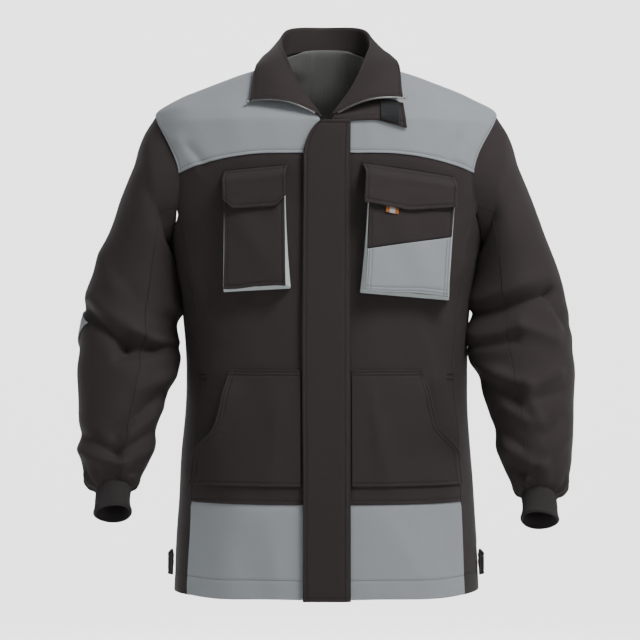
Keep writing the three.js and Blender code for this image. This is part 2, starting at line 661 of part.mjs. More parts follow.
// The bellows: a wall down one side, along the bottom and up the other, flared at the body.
const gussetStart = -16;           // the side walls start this far below the pocket's top
const gussetCloth = 1.2;
function pocketGusset(frame, pocket) {
  const half = pocket.width / 2;
  const foot = -pocket.length;
  const corners = [[-half, gussetStart], [-half, foot], [half, foot], [half, gussetStart]];
  const flare = [[-1, 0], [-1, -1], [1, -1], [1, 0]];
  const steps = [4, 5, 4];
  const stations = [];
  for (let leg = 0; leg < 3; leg += 1) {
    for (let i = leg ? 1 : 0; i <= steps[leg]; i += 1) {
      const t = i / steps[leg];
      const [x, z] = [0, 1].map((k) => mix(corners[leg][k], corners[leg + 1][k], t));
      const [dx, dz] = [0, 1].map((k) => mix(flare[leg][k], flare[leg + 1][k], t));
      stations.push([x, z, dx, dz]);
    }
  }
  const layer = (inset) => [false, true].map((atBody) => stations.map(([x, z, dx, dz]) => {
    const spread = (atBody ? pocketFlare * clamp01(-z / pocket.length) ** 2 : 0) - inset;
    const [px, pz] = [x + dx * spread, z + dz * spread];
    return atBody ? bodyBehind(frame, px, pz, gussetLift)
      : new THREE.Vector3(px, clearance, pz).applyMatrix4(frame.matrix);
  }));
  return sheetSolid(layer(0), layer(gussetCloth));
}

function pocketFlap(pocket) {
  const half = pocket.width / 2 + flapOverhang;
  const drop = pocket.flapDrop;
  const corner = half - 0.8 * pocket.chamfer - 0.1;
  const outline = outlineOf([
    [half, 0], [half, -drop + pocket.chamfer], [corner, -drop], [0, -drop - pocket.point],
    [-corner, -drop], [-half, -drop + pocket.chamfer], [-half, 0],
  ]);
  return plate(outline, thinCloth);
}

// Hook tape inside the flap and loop tape on the pocket's front: one wide pair or two.
const pocketLayer = thinCloth + patchThickness * 2 + 1.2;  // pocket's front to the flap's inside
const pocketPatchHeight = 12;
const pocketPatchMargin = 3;       // flap's lower edge to the hook patch
function pocketPatches(name, pocket, frame) {
  const width = 0.3 * pocket.width;
  const z = flapRise - pocket.flapDrop + pocketPatchMargin + pocketPatchHeight / 2;
  const reach = sides[name] * 0.25 * pocket.width;
  const places = pocket.chamfer ? [['', 0]] : [['_outer', reach], ['_inner', -reach]];
  for (const [end, x] of places) {
    const patch = (y) => placed(block(width, patchThickness, pocketPatchHeight), x, y, z);
    const loop = patch(-thinCloth - patchSeat - patchThickness / 2);
    const hook = patch(patchSeat + patchThickness / 2 - pocketLayer);
    add(`pocket_loop_patch_${name}${end}`, loop, colours.hook, frame);
    add(`flap_hook_patch_${name}${end}`, hook, colours.hook, frame);
  }
}

// The flap is sewn on along its top, where a turned-in lip reaches back to the body.
function chestPocketFlap(pocket, frame) {
  const flap = placed(pocketFlap(pocket), 0, -pocketLayer, flapRise);
  const origin = new THREE.Vector3(0, 0, 0).applyMatrix4(frame.matrix);
  const inward = new THREE.Vector3(0, 1, 0).transformDirection(frame.matrix);
  const reach = bodyBehind(frame, 0, flapRise, 0).sub(origin).dot(inward);
  const depth = pocketLayer + reach - lipSeat + lipOverlap;
  const lip = block(0.5 * pocket.width, depth, flapLip);
  placed(lip, 0, depth / 2 - pocketLayer - lipOverlap, flapRise - flapLip / 2);
  return joined(flap, lip);
}

function chestPocket(name, pocket) {
  const frame = pocketFrame(pocket);
  add(`chest_pocket_gusset_${name}`, pocketGusset(frame, pocket), colours.gusset);
  pocketPatches(name, pocket, frame);
  add(`chest_pocket_flap_${name}`, chestPocketFlap(pocket, frame), colours.dark, frame);
  return frame;
}

// A piece of a pocket's front, with its upper and lower edge given at the inner and outer side.
function pocketFront(pocket, upper, lower) {
  const half = pocket.width / 2;
  const outline = outlineOf([[half, upper[1]], [-half, upper[0]], [-half, lower[0]], [half, lower[1]]]);
  return plate(outline, thinCloth);
}

const { right, left } = chestPockets;
const rightFrame = chestPocket('right', right);
const rightFoot = [-right.length, -right.length];
add('chest_pocket_front_right', pocketFront(right, [0, 0], rightFoot), colours.dark, rightFrame);

// The left pocket's front is in two colours, joined along a slanting seam.
const leftFrame = chestPocket('left', left);
const slant = [slantInner, slantOuter];
const leftUpper = pocketFront(left, [0, 0], slant.map((z) => z + clearance));
const leftLower = pocketFront(left, slant, [-left.length, -left.length]);
add('chest_pocket_front_left', leftUpper, colours.dark, leftFrame);
add('chest_pocket_panel_left', leftLower, colours.grey, leftFrame);
const tabDrop = flapRise - left.flapDrop - 9;
const tab = placed(block(18, 0.9, 9), -0.22 * left.width, -thinCloth - 1.1, tabDrop);
add('woven_tab', tab, colours.orange, leftFrame);

// ---- Hand pockets ---------------------------------------------------------------------------
function handPocket(side) {
  const outerX = throughPoints([
    [handPocketBottom, frontSeamX(handPocketBottom) - 6],
    [handPocketMouthHeight, frontSeamX(handPocketMouthHeight) - 8],
    [mix(handPocketMouthHeight, handPocketTop, 0.36), handPocketMouthTop + 16],
    [handPocketTop, handPocketMouthTop],
  ]);
  return bodyPanel(9, 7, (u, v) => {
    const z = mix(handPocketBottom, handPocketTop, v);
    const x = mix(flapSewnEdge + handPocketInset, outerX(z), u);
    const mouth = smooth((z - handPocketMouthHeight + 12) / 40) * smooth((handPocketTop - z) / 40);
    return [side * turnAtX(x, z), z, handPocketBulge * mouth * u ** 4];
  }, handPocketLift + thinCloth, thinCloth);
}
for (const [name, side] of Object.entries(sides)) {
  add(`hand_pocket_${name}`, handPocket(side), colours.dark);
}

// ---- Hem adjuster tabs ----------------------------------------------------------------------
// A strap sewn on at its front end; it lies back along the side of the hem.
const hemTabFront = -32;
const hemTabFace = halfWidth(hemTabHeight) + hemTabStandOff + hemTabThickness;
function hemTab(side) {
  const half = hemTabWidth / 2;
  const straight = hemTabLength - half;
  const outline = new THREE.Shape();
  outline.moveTo(0, -half);
  outline.lineTo(straight, -half);
  outline.absarc(straight, 0, half, -Math.PI / 2, Math.PI / 2, false);
  outline.lineTo(0, half);
  outline.closePath();
  const strap = plate(outline, hemTabThickness).rotateZ(Math.PI / 2);
  placed(strap, hemTabFace - hemTabThickness, hemTabFront, hemTabHeight);
  const seat = surfacePoint(turnAtY(-hemTabFront, hemTabHeight), hemTabHeight).x + hemTabSeat;
  const foot = hemTabFace - seat - lipOverlap;
  const lip = block(foot, flapLip, hemTabWidth);
  placed(lip, seat + foot / 2, hemTabFront + flapLip / 2, hemTabHeight);
  const whole = joined(strap, lip);
  return side > 0 ? whole : facingOut(whole.scale(-1, 1, 1));
}
function hemTabPatch(side) {
  const x = side * (hemTabFace - hemTabThickness - patchSeat - patchThickness / 2);
  return placed(block(patchThickness, 34, 20), x, hemTabFront + hemTabLength - 32, hemTabHeight);
}
for (const [name, side] of Object.entries(sides)) {
  add(`hem_tab_${name}`, hemTab(side), colours.dark);
  add(`hem_tab_hook_patch_${name}`, hemTabPatch(side), colours.hook);
}

// ---- Collar ---------------------------------------------------------------------------------
// A sheet along any surface: point(u, v) is its middle, thickened both ways.
function freePanel(rows, columns, point, thickness) {
  const small = 1e-3;
  const lifted = (u, v, offset) => {
    const across = point(Math.min(1, u + small), v).sub(point(Math.max(0, u - small), v));
    const along = point(u, Math.min(1, v + small)).sub(point(u, Math.max(0, v - small)));
    return point(u, v).addScaledVector(across.cross(along).normalize(), offset);
  };
  const layer = (offset) => grid(rows, columns, (u, v) => lifted(u, v, offset));
  return sheetSolid(layer(thickness / 2), layer(-thickness / 2));
}

function mirrored(point, side) {
  if (side < 0) point.x *= -1;
  return point;
}
const rollPoints = collarRoll.map(([x, y, z]) => new THREE.Vector3(x, y, bodyLength + z));
const rollMirror = rollPoints.slice(1).reverse().map((point) => mirrored(point.clone(), -1));
const fullRoll = new THREE.CatmullRomCurve3([...rollMirror, ...rollPoints], false, 'centripetal');
const rollPoint = (t) => fullRoll.getPoint((1 + t) / 2);
// Along the collar t is 0 at the back middle, shoulderShare at the shoulder line and 1 in front.
const shoulderShare = 0.4;
const neckPoint = (t) => {
  if (t < shoulderShare) {
    const turn = Math.PI * (1 - t / (2 * shoulderShare));
    return bodyPoint(turn, neckTop(turn), 0);
  }
  const z = mix(bodyLength - 1, neckFront, (t - shoulderShare) / (1 - shoulderShare));
  return surfacePoint(turnAtX(neckX(z), z), z);
};
const frontEdgeX = throughPoints(collarFrontX.map((x, i) => [i / 2, x]));
const frontEdgeHeight = throughPoints(collarFrontHeight.map((z, i) => [i / 2, bodyLength + z]));
function edgePoint(t, lift) {
  if (t < shoulderShare) {
    const share = t / shoulderShare;
    return bodyPoint(Math.PI * (1 - share / 2), bodyLength + mix(...collarBackHeight, share), lift);
  }
  const share = (t - shoulderShare) / (1 - shoulderShare);
  const z = frontEdgeHeight(share);
  return bodyPoint(turnAtX(frontEdgeX(share), z), z, lift);
}

// Both halves of the collar run from the roll: down to the neck seam and out to the edge.
const standSeat = 0.1;             // above the neck seam's cloth
const standReach = [0.02, 0.87];   // where the standing half starts and ends, from seam to roll
const collarBulge = 5;             // how far the turned half bellies out
const collarFrontPuff = 9;         // and rises over the front of the roll
function standPoint(u, v) {
  const t = Math.abs(2 * u - 1);
  const seam = neckPoint(t);
  seam.z += cloth + standSeat;
  const point = seam.lerp(rollPoint(t), mix(...standReach, v));
  return mirrored(point, u < 0.5 ? -1 : 1);
}
function turnedPoint(t, v, lift) {
  const roll = rollPoint(t);
  const outward = new THREE.Vector3(roll.x, roll.y, 0).normalize();
  roll.addScaledVector(outward, collarFold);
  const point = roll.lerp(edgePoint(t, lift), v);
  const arch = Math.sin(Math.PI * v);
  point.addScaledVector(outward, collarBulge * arch * smooth(t / shoulderShare));
  point.z += collarFrontPuff * arch * smooth((t - 0.5) * 2);
  return point;
}
const leafStart = 0.3;             // the back part of the collar ends here
const leafGap = 0.003;
function collarBackPoint(u, v) {
  const t = Math.abs(2 * u - 1) * (leafStart - leafGap);
  const lift = mix(collarLift.right, collarLift.left, u);
  return mirrored(turnedPoint(t, v, lift), u < 0.5 ? -1 : 1);
}
add('collar_stand', freePanel(3, 30, standPoint, collarThickness), colours.dark);
add('collar_back', freePanel(4, 12, collarBackPoint, collarThickness), colours.dark);
const leafPoint = (name) => (u, v) => {
  const middleLift = (collarLift.right + collarLift.left) / 2;
  const lift = mix(middleLift, collarLift[name], smooth(3 * u));
  return mirrored(turnedPoint(mix(leafStart, 1, u), v, lift), sides[name]);
};

// The open top of the zip runs along the front edge of each collar leaf, up to a stop.
const topTeethWidth = 2.6;
const topTeethThickness = 2;
function collarTeeth(name) {
  const point = leafPoint(name);
  return freePanel(14, 1, (u, v) => {
    const along = mix(0.06, 0.99, v);
    const edge = point(1, along);
    const ahead = edge.clone().sub(point(0.97, along)).normalize();
    return edge.addScaledVector(ahead, clearance + u * topTeethWidth);
  }, topTeethThickness);
}
const topStopRadius = 2.2;
function topStop(name) {
  const point = leafPoint(name);
  const corner = point(1, 1);
  const ahead = corner.clone().sub(point(0.97, 1)).normalize();
  const along = corner.clone().sub(point(1, 0.96)).normalize();
  corner.addScaledVector(ahead, clearance + topTeethWidth / 2);
  corner.addScaledVector(along, topStopRadius + clearance);
  return new THREE.SphereGeometry(topStopRadius, 10, 6).translate(corner.x, corner.y, corner.z);
}

for (const name of Object.keys(sides)) {
  add(`collar_leaf_${name}`, freePanel(5, 12, leafPoint(name), collarThickness), colours.dark);
  add(`zip_teeth_collar_${name}`, collarTeeth(name), colours.metal, jacket, 0.4, 0.8);
  add(`zip_top_stop_${name}`, topStop(name), colours.metal, jacket, 0.4, 0.8);
}

// The storm flap's top is turned out over the left yoke, below the collar leaf.
const flapTopLower = throughPoints([[10, -88], [33, -85], [63, -87], [87, -93], [110, -101]]);
const flapTopUpper = throughPoints([[10, -85], [33, -77.5], [56, -71], [80, -69], [104, -71], [110, -74]]);
const flapTopLift = 0.8;
const flapTopPatchSeat = 1.3;
function flapTop() {
  return bodyPanel(3, 8, (u, v) => {
    const x = mix(10, 110 - 4 * v, u);
    const z = bodyLength + mix(flapTopLower(x), flapTopUpper(x), v);
    return [turnAtX(x, z), z];
  }, cloth + flapTopLift, cloth);
}
function flapTopPatch() {
  return bodyPanel(2, 3, (u, v) => {
    const x = mix(74, 99, u);
    const z = bodyLength + mix(flapTopLower(x) + 3, flapTopUpper(x) - 3, v);
    return [turnAtX(x, z), z];
  }, cloth + flapTopLift + flapTopPatchSeat + patchThickness, patchThickness);
}
add('storm_flap_top', flapTop(), colours.dark);
add('storm_flap_top_hook_patch', flapTopPatch(), colours.hook);

export default jacket;
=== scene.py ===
"""Looks of a two-colour work jacket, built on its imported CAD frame.

Shapes are worked out in millimetres, with heights above the hem, and become metres from the neck
point when they are put into a mesh.
"""

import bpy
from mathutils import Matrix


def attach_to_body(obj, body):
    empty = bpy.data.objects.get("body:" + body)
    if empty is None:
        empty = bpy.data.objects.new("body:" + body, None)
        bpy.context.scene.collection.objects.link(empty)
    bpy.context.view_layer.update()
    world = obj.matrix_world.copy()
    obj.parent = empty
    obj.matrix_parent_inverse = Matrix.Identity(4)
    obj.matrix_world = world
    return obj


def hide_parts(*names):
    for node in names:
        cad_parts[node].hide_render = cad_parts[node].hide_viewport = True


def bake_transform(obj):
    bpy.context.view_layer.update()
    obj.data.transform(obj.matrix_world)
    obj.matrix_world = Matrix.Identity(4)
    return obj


bl_info = {
    "name": "Work jacket",
    "version": (1, 0, 0),
    "blender": (4, 5, 0),
    "location": "3D View > Sidebar > Jacket",
    "description": "Cloth, stitching, zip and stage of a two-colour work jacket",
    "category": "Object",
}

import bpy
import numpy as np
from mathutils import Vector
from bpy.props import FloatProperty, FloatVectorProperty, IntProperty, PointerProperty

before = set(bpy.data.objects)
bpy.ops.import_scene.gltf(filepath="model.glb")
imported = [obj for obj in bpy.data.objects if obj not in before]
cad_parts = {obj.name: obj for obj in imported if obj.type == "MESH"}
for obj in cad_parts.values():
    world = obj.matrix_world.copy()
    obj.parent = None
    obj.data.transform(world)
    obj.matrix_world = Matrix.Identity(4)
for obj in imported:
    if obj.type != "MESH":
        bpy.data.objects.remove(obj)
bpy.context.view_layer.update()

PI = np.pi
BODY_LENGTH = 742.0
CLOTH = 2.2
SLEEVE_CLOTH = 2.4
CLEARANCE = 0.4
SEAM_ANGLE = 0.0016
SECTION_POWER = 2.5
FRONT_LEAN = 0.05
HEM_FRONT_DEPTH = 150.0
NECK_FRONT = 655.0
SHOULDER_TIP = 669.0
UNDERARM = 478.0
ARMHOLE_MIDDLE = 573.5
ARMHOLE_HALF = 95.5
ARMHOLE_DEPTH = 78.0
HEM_PANEL = 128.0
SEAM_TOP = ARMHOLE_MIDDLE - 0.29 * ARMHOLE_HALF
SIDES = {"right": -1, "left": 1}


# ---- Small tools ----------------------------------------------------------------------------


def mix(a, b, t):
    """The value a share t of the way from a to b."""
    return a + (b - a) * t


def smooth(t):
    """An S-curve from 0 to 1: three t squared less two t cubed."""
    t = np.clip(t, 0, 1)
    return t * t * (3 - 2 * t)


def unit(v):
    """Vectors scaled to length one."""
    return v / np.maximum(np.linalg.norm(v, axis=-1, keepdims=True), 1e-12)


def through(pairs):
    """A cubic through [place, value] pairs whose slopes are harmonic means, so it never swings past them."""
    xs, ys = np.array(pairs, float).T
    slope = np.diff(ys) / np.diff(xs)
    before = np.concatenate([slope[:1], slope])
    after = np.concatenate([slope, slope[-1:]])
    total = np.where(before * after > 0, before + after, 1)
    tangent = np.where(before * after > 0, 2 * before * after / total, 0)

    def curve(x):
        i = np.clip(np.searchsorted(xs, x, side="right") - 1, 0, len(xs) - 2)
        h = xs[i + 1] - xs[i]
        t = np.clip((x - xs[i]) / h, 0, 1)
        return (
            ys[i] * (1 + 2 * t) * (1 - t) ** 2
            + tangent[i] * h * t * (1 - t) ** 2
            + ys[i + 1] * t * t * (3 - 2 * t)
            - tangent[i + 1] * h * t * t * (1 - t)
        )

    return curve


def spline(points, tension=None):
    """A curve through points: Catmull-Rom with a fixed tension, or centripetal where none is given."""
    p = np.array(points, float)
    p = np.concatenate([2 * p[:1] - p[1:2], p, 2 * p[-1:] - p[-2:-1]])
    gap = np.linalg.norm(np.diff(p, axis=0), axis=-1) ** 0.5

    def curve(t):
        place = np.clip(t, 0, 1) * (len(p) - 3)
        i = np.clip(place.astype(int), 0, len(p) - 4)
        w = (place - i)[..., None]
        a, b, c, d = p[i], p[i + 1], p[i + 2], p[i + 3]
        if tension is None:
            g0, g1, g2 = (gap[i + k][..., None] for k in range(3))
            m0 = ((b - a) / g0 - (c - a) / (g0 + g1) + (c - b) / g1) * g1
            m1 = ((c - b) / g1 - (d - b) / (g1 + g2) + (d - c) / g2) * g1
        else:
            m0, m1 = tension * (c - a), tension * (d - b)
        return (
            b
            + m0 * w
            + (3 * (c - b) - 2 * m0 - m1) * w**2
            + (2 * (b - c) + m0 + m1) * w**3
        )

    return curve


def creases(x, z, table):
    """Height of sculpted folds: each row is a line from (x0, z0) to (x1, z1) with a width and a height.
    A point's height is the sum of height times a bell curve of its distance from each line over the width."""
    total = np.zeros(np.broadcast(x, z).shape)
    for x0, z0, x1, z1, width, height in table:
        dx, dz = x1 - x0, z1 - z0
        along = np.clip(
            ((x - x0) * dx + (z - z0) * dz) / max(dx * dx + dz * dz, 1e-6), 0, 1
        )
        away = np.hypot(x - x0 - along * dx, z - z0 - along * dz)
        total += height * np.exp(-((away / width) ** 1.6))
    return total


# ---- The body's surface ---------------------------------------------------------------------
half_width = through(
    [
        [0, 217],
        [150, 209],
        [300, 200],
        [399.68, 205.94],
        [478, 222],
        [560.13, 238],
        [639, 243],
        [669, 241],
        [690.9, 207.93],
        [720.1, 136.12],
        [742, 76],
        [767, 66],
    ]
)
upper_front = through(
    [
        [655, 117.25],
        [669, 108.25],
        [690.9, 92],
        [720.1, 77],
        [742, 71],
        [767, 60],
    ]
)
rear_depth = through(
    [
        [0, 148],
        [300, 133],
        [478, 149],
        [560.13, 150],
        [669, 120],
        [705.5, 100],
        [742, 86],
        [767, 76],
    ]
)
front_seam_x = through(
    [
        [0, 193.13],
        [128, 195.3],
        [300, 177],
        [424.6, 188.7],
        [SEAM_TOP, 210.924],
    ]
)
neck_x = through([[655, 7], [667, 17], [698.5, 42.56], [742, 73]])

# Folds in the cloth of the body as seen from the front and from behind: line, width and height.
FRONT_FOLDS = [
    [64, 275, 83, 156, 15, 2.2],
    [88, 99, 128, 31, 17, 3.0],
    [-70, 262, -70, 160, 19, 2.4],
    [-79, 106, -68, 40, 19, 3.0],
    [118, 405, 152, 300, 12, 2.4],
    [150, 292, 182, 215, 13, 2.4],
    [-150, 400, -176, 366, 10, 2.6],
    [-186, 452, -150, 372, 12, 3.2],
    [190, 455, 150, 396, 12, 3.0],
    [-203, 627, -179, 592, 10, 3.2],
    [-191, 616, -166, 588, 8, -3.6],
    [197, 626, 186, 602, 10, 3.2],
    [184, 628, 172, 604, 8, -3.2],
    [-150, 95, -168, 20, 20, -2.2],
    [155, 110, 178, 15, 20, -2.2],
]
REAR_FOLDS = [
    [-150, 560, -120, 420, 22, 4.0],
    [150, 560, 118, 415, 22, 4.0],
    [-60, 500, -95, 330, 26, -3.5],
    [62, 490, 90, 320, 26, -3.5],
    [0, 420, -18, 180, 34, 3.5],
    [-110, 330, -150, 200, 20, 3.5],
    [112, 320, 148, 190, 20, 3.5],
    [-90, 180, -70, 10, 26, 4.0],
    [84, 190, 100, 10, 26, 4.0],
    [-20, 120, -5, 5, 22, -3.0],
    [-150, 300, -60, 270, 12, 2.6],
    [150, 285, 66, 262, 12, 2.6],
    [-140, 262, -50, 240, 10, -2.2],
    [140, 250, 60, 232, 10, -2.2],
]


def front_depth(z):
    """Depth of the front: straight and leaning back up to the neck, then through the shoulder's points."""
    return np.where(z < NECK_FRONT, HEM_FRONT_DEPTH - FRONT_LEAN * z, upper_front(z))


def body_surface(turn, z):
    """A superellipse at each height: x is the half width times sin(turn) to the power 0.8,
    y the same with cos."""
    across, ahead = np.sin(turn), np.cos(turn)
    depth = np.where(ahead > 0, front_depth(z), rear_depth(z))
    power = 2 / SECTION_POWER
    x = half_width(z) * np.sign(across) * np.abs(across) ** power
    y = -depth * np.sign(ahead) * np.abs(ahead) ** power
    return np.stack(np.broadcast_arrays(x, y, z), -1)


def body_normal(turn, z):
    """The outward normal: the cross product of small steps around and up the surface."""
    around = body_surface(turn + 0.03, z) - body_surface(turn - 0.03, z)
    up = body_surface(turn, z + 1.5) - body_surface(turn, z - 1.5)
    return unit(np.cross(around, up))


def body_folds(turn, z):
    """Soft folds of the body's cloth: sculpted lines plus slow waves, none under the storm flap."""
    p = body_surface(turn, z)
    x = p[..., 0]
    front = np.cos(turn) > 0
    amount = bpy.context.scene.jacket_sizes.fold_amount
    lines = np.where(front, creases(x, z, FRONT_FOLDS), creases(x, z, REAR_FOLDS))
    waves = (
        0.9 * np.sin(0.031 * x + 0.012 * z + 1.1) * np.sin(0.019 * z - 0.008 * x)
        + 0.5 * np.sin(0.071 * x - 0.023 * z)
        + 0.35 * np.sin(0.05 * z + 0.11 * x + 2)
    )
    drape = (
        2.6
        * smooth((420 - z) / 420)
        * np.sin(9 * turn + 0.004 * z)
        * np.abs(np.sin(turn)) ** 0.5
    )
    clear_of_zip = np.where(front, smooth((np.abs(x) - 42) / 26), 1)
    clear_of_neck = smooth((735 - z) / 60)
    clear_of_pockets = 1 - 0.9 * np.where(
        front, smooth((z - 400) / 30) * smooth((600 - z) / 30), 0
    ) * smooth((178 - np.abs(x)) / 16)
    whole = (lines + waves + np.where(front, 0.5, 1) * drape) * clear_of_pockets
    return amount * whole * clear_of_zip * clear_of_neck


def body_point(turn, z, lift, folded=True):
    """A point raised off the body by lift along its normal, riding on the folds."""
    rise = lift + (body_folds(turn, z) if folded else 0)
    return body_surface(turn, z) + body_normal(turn, z) * np.asarray(rise)[..., None]


def turn_at_x(x, z):
    """The turn where the surface is x from the middle plane."""
    share = np.clip(np.abs(x) / half_width(z), 0, 1)
    return np.sign(x) * np.arcsin(share ** (SECTION_POWER / 2))


def turn_at_y(ahead, z):
    """The turn where the surface is that far ahead of, or behind, the side."""
    depth = np.where(ahead > 0, front_depth(z), rear_depth(z))
    angle = np.arccos(np.clip(np.abs(ahead) / depth, 0, 1) ** (SECTION_POWER / 2))
    return np.where(ahead > 0, angle, PI - angle)


def armhole_reach(z):
    """Half depth of the elliptical armhole at a height."""
    share = (z - ARMHOLE_MIDDLE) / ARMHOLE_HALF
    return ARMHOLE_DEPTH * np.sqrt(np.maximum(0, 1 - share * share))


def front_seam_turn(z):
    """The front side seam, which runs into the armhole's edge at its top."""
    top = turn_at_y(armhole_reach(SEAM_TOP), SEAM_TOP) + 0.05
    return np.where(
        z < SEAM_TOP,
        np.minimum(turn_at_x(front_seam_x(z), z), top),
        turn_at_y(armhole_reach(z), z),
    )


def back_seam_turn(z):
    """The back side seam, from the hem to the armhole's edge."""
    top = turn_at_y(-armhole_reach(SEAM_TOP), SEAM_TOP)
    return np.where(
        z < SEAM_TOP,
        mix(1.96, top, smooth(z / SEAM_TOP)),
        turn_at_y(-armhole_reach(z), z),
    )


def inner_turn(z):
    """The front panel's edge beside the zip, then the neck's edge."""
    return turn_at_x(np.where(z < NECK_FRONT, 7.0, neck_x(z)), z)


def yoke_seam(share):
    """The yoke's lower edge, lower towards the armhole."""
    return BODY_LENGTH - mix(135, 160, np.maximum(0, share - 0.25) ** 1.4 * 1.5)


def neck_top(turn):
    """The neck seam behind the shoulders rises as a sine towards the back."""
    return BODY_LENGTH + 25 * np.sin(np.clip(turn / (PI / 2) - 1, 0, 1) * PI / 2)


def underarm_height(share):
    """Where a line at one share of the way between the side seams meets the armhole's lower edge."""
    z = np.full(np.shape(share), UNDERARM)
    for _ in range(14):
        turn = mix(front_seam_turn(z), back_seam_turn(z), share)
        reach = np.clip(np.abs(body_surface(turn, z)[..., 1]) / ARMHOLE_DEPTH, 0, 1)
        target = ARMHOLE_MIDDLE - ARMHOLE_HALF * np.sqrt(1 - reach * reach)
        z = mix(z, np.minimum(target, SEAM_TOP), 0.6)
    return z


# ---- Meshes ---------------------------------------------------------------------------------


def make_object(name, points, faces, uv=None, marks=None, shade_smooth=True):
    """Puts points in millimetres above the hem into a mesh in metres from the neck point."""
    mesh = bpy.data.meshes.new(name)
    place = (np.asarray(points, float) - [0, 0, BODY_LENGTH]) / 1000
    mesh.from_pydata(place.tolist(), [], np.asarray(faces).tolist())
    mesh.update()
    if uv is not None:
        corner = np.zeros(len(mesh.loops), int)
        mesh.loops.foreach_get("vertex_index", corner)
        layer = mesh.uv_layers.new(name="cloth")
        layer.data.foreach_set("uv", np.asarray(uv)[corner].astype(np.float32).ravel())
    for key, values in (marks or {}).items():
        attribute = mesh.attributes.new(key, "FLOAT", "POINT")
        attribute.data.foreach_set("value", np.asarray(values, np.float32))
    if shade_smooth:
        mesh.polygons.foreach_set("use_smooth", np.ones(len(mesh.polygons), bool))
    obj = bpy.data.objects.new(name, mesh)
    bpy.context.scene.collection.objects.link(obj)
    return obj


def attach(obj, hold):
    """A piece rides on one body; given two bodies and a start and an end point in metres instead, it only has
    its transform baked into its mesh.
    """
    if isinstance(hold, str):
        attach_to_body(obj, hold)
    else:
        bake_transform(obj)


def finish(obj, material, nodes, hold):
    """Gives a piece its material, slot and motion, and lets it stand for its CAD nodes."""
    obj.data.materials.append(material)
    if nodes:
        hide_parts(*nodes)
    attach(obj, hold)
    return obj


def shares(size, step, start=(), end=()):
    """Places along a side as shares of its size: even steps, with close ones at both edges
    and by stitch lines."""
    edge = [0, 0.3, 0.8, 1.5, 2.4, 3.6]
    lows = edge + [c + k for c in start for k in (-1.4, -0.7, 0, 0.7, 1.4)]
    highs = edge + [c + k for c in end for k in (-1.4, -0.7, 0, 0.7, 1.4)]
    marks = np.array([m for m in lows] + [size - m for m in highs])
    marks = np.unique(np.round(marks[(marks >= 0) & (marks <= size)], 3))
    even = np.linspace(0, size, max(4, int(round(size / step)) + 1))
    near = np.abs(even[:, None] - marks[None, :]).min(1)
    places = np.unique(np.concatenate([marks, even[near > 0.45 * step]]))
    return places / size


# How an edge is finished: the stitch lines in from it, and how its cloth rises or dips towards the edge.
EDGES = {
    "free": ((), 0.0, 1),
    "seam": ((), -0.8, 2.2),
    "under": ((), -0.6, 6),
    "lap": ((5.0,), 0.55, 9),
    "lap_double": ((2.6, 8.4), 0.6, 12),
    "turned": ((4.6,), 0.3, 7),
    "turned_double": ((3.0, 7.6), 0.3, 10),
    "flat": ((4.6,), 0.0, 7),
    "hem": ((26.0,), 0.1, 29),
}
THREADS = {}


def add_thread(points, normals, hold, shade):
    """Keeps a line of stitching for the stitching operator, by how it moves and its colour."""
    THREADS.setdefault((hold, shade), []).append((points, normals))


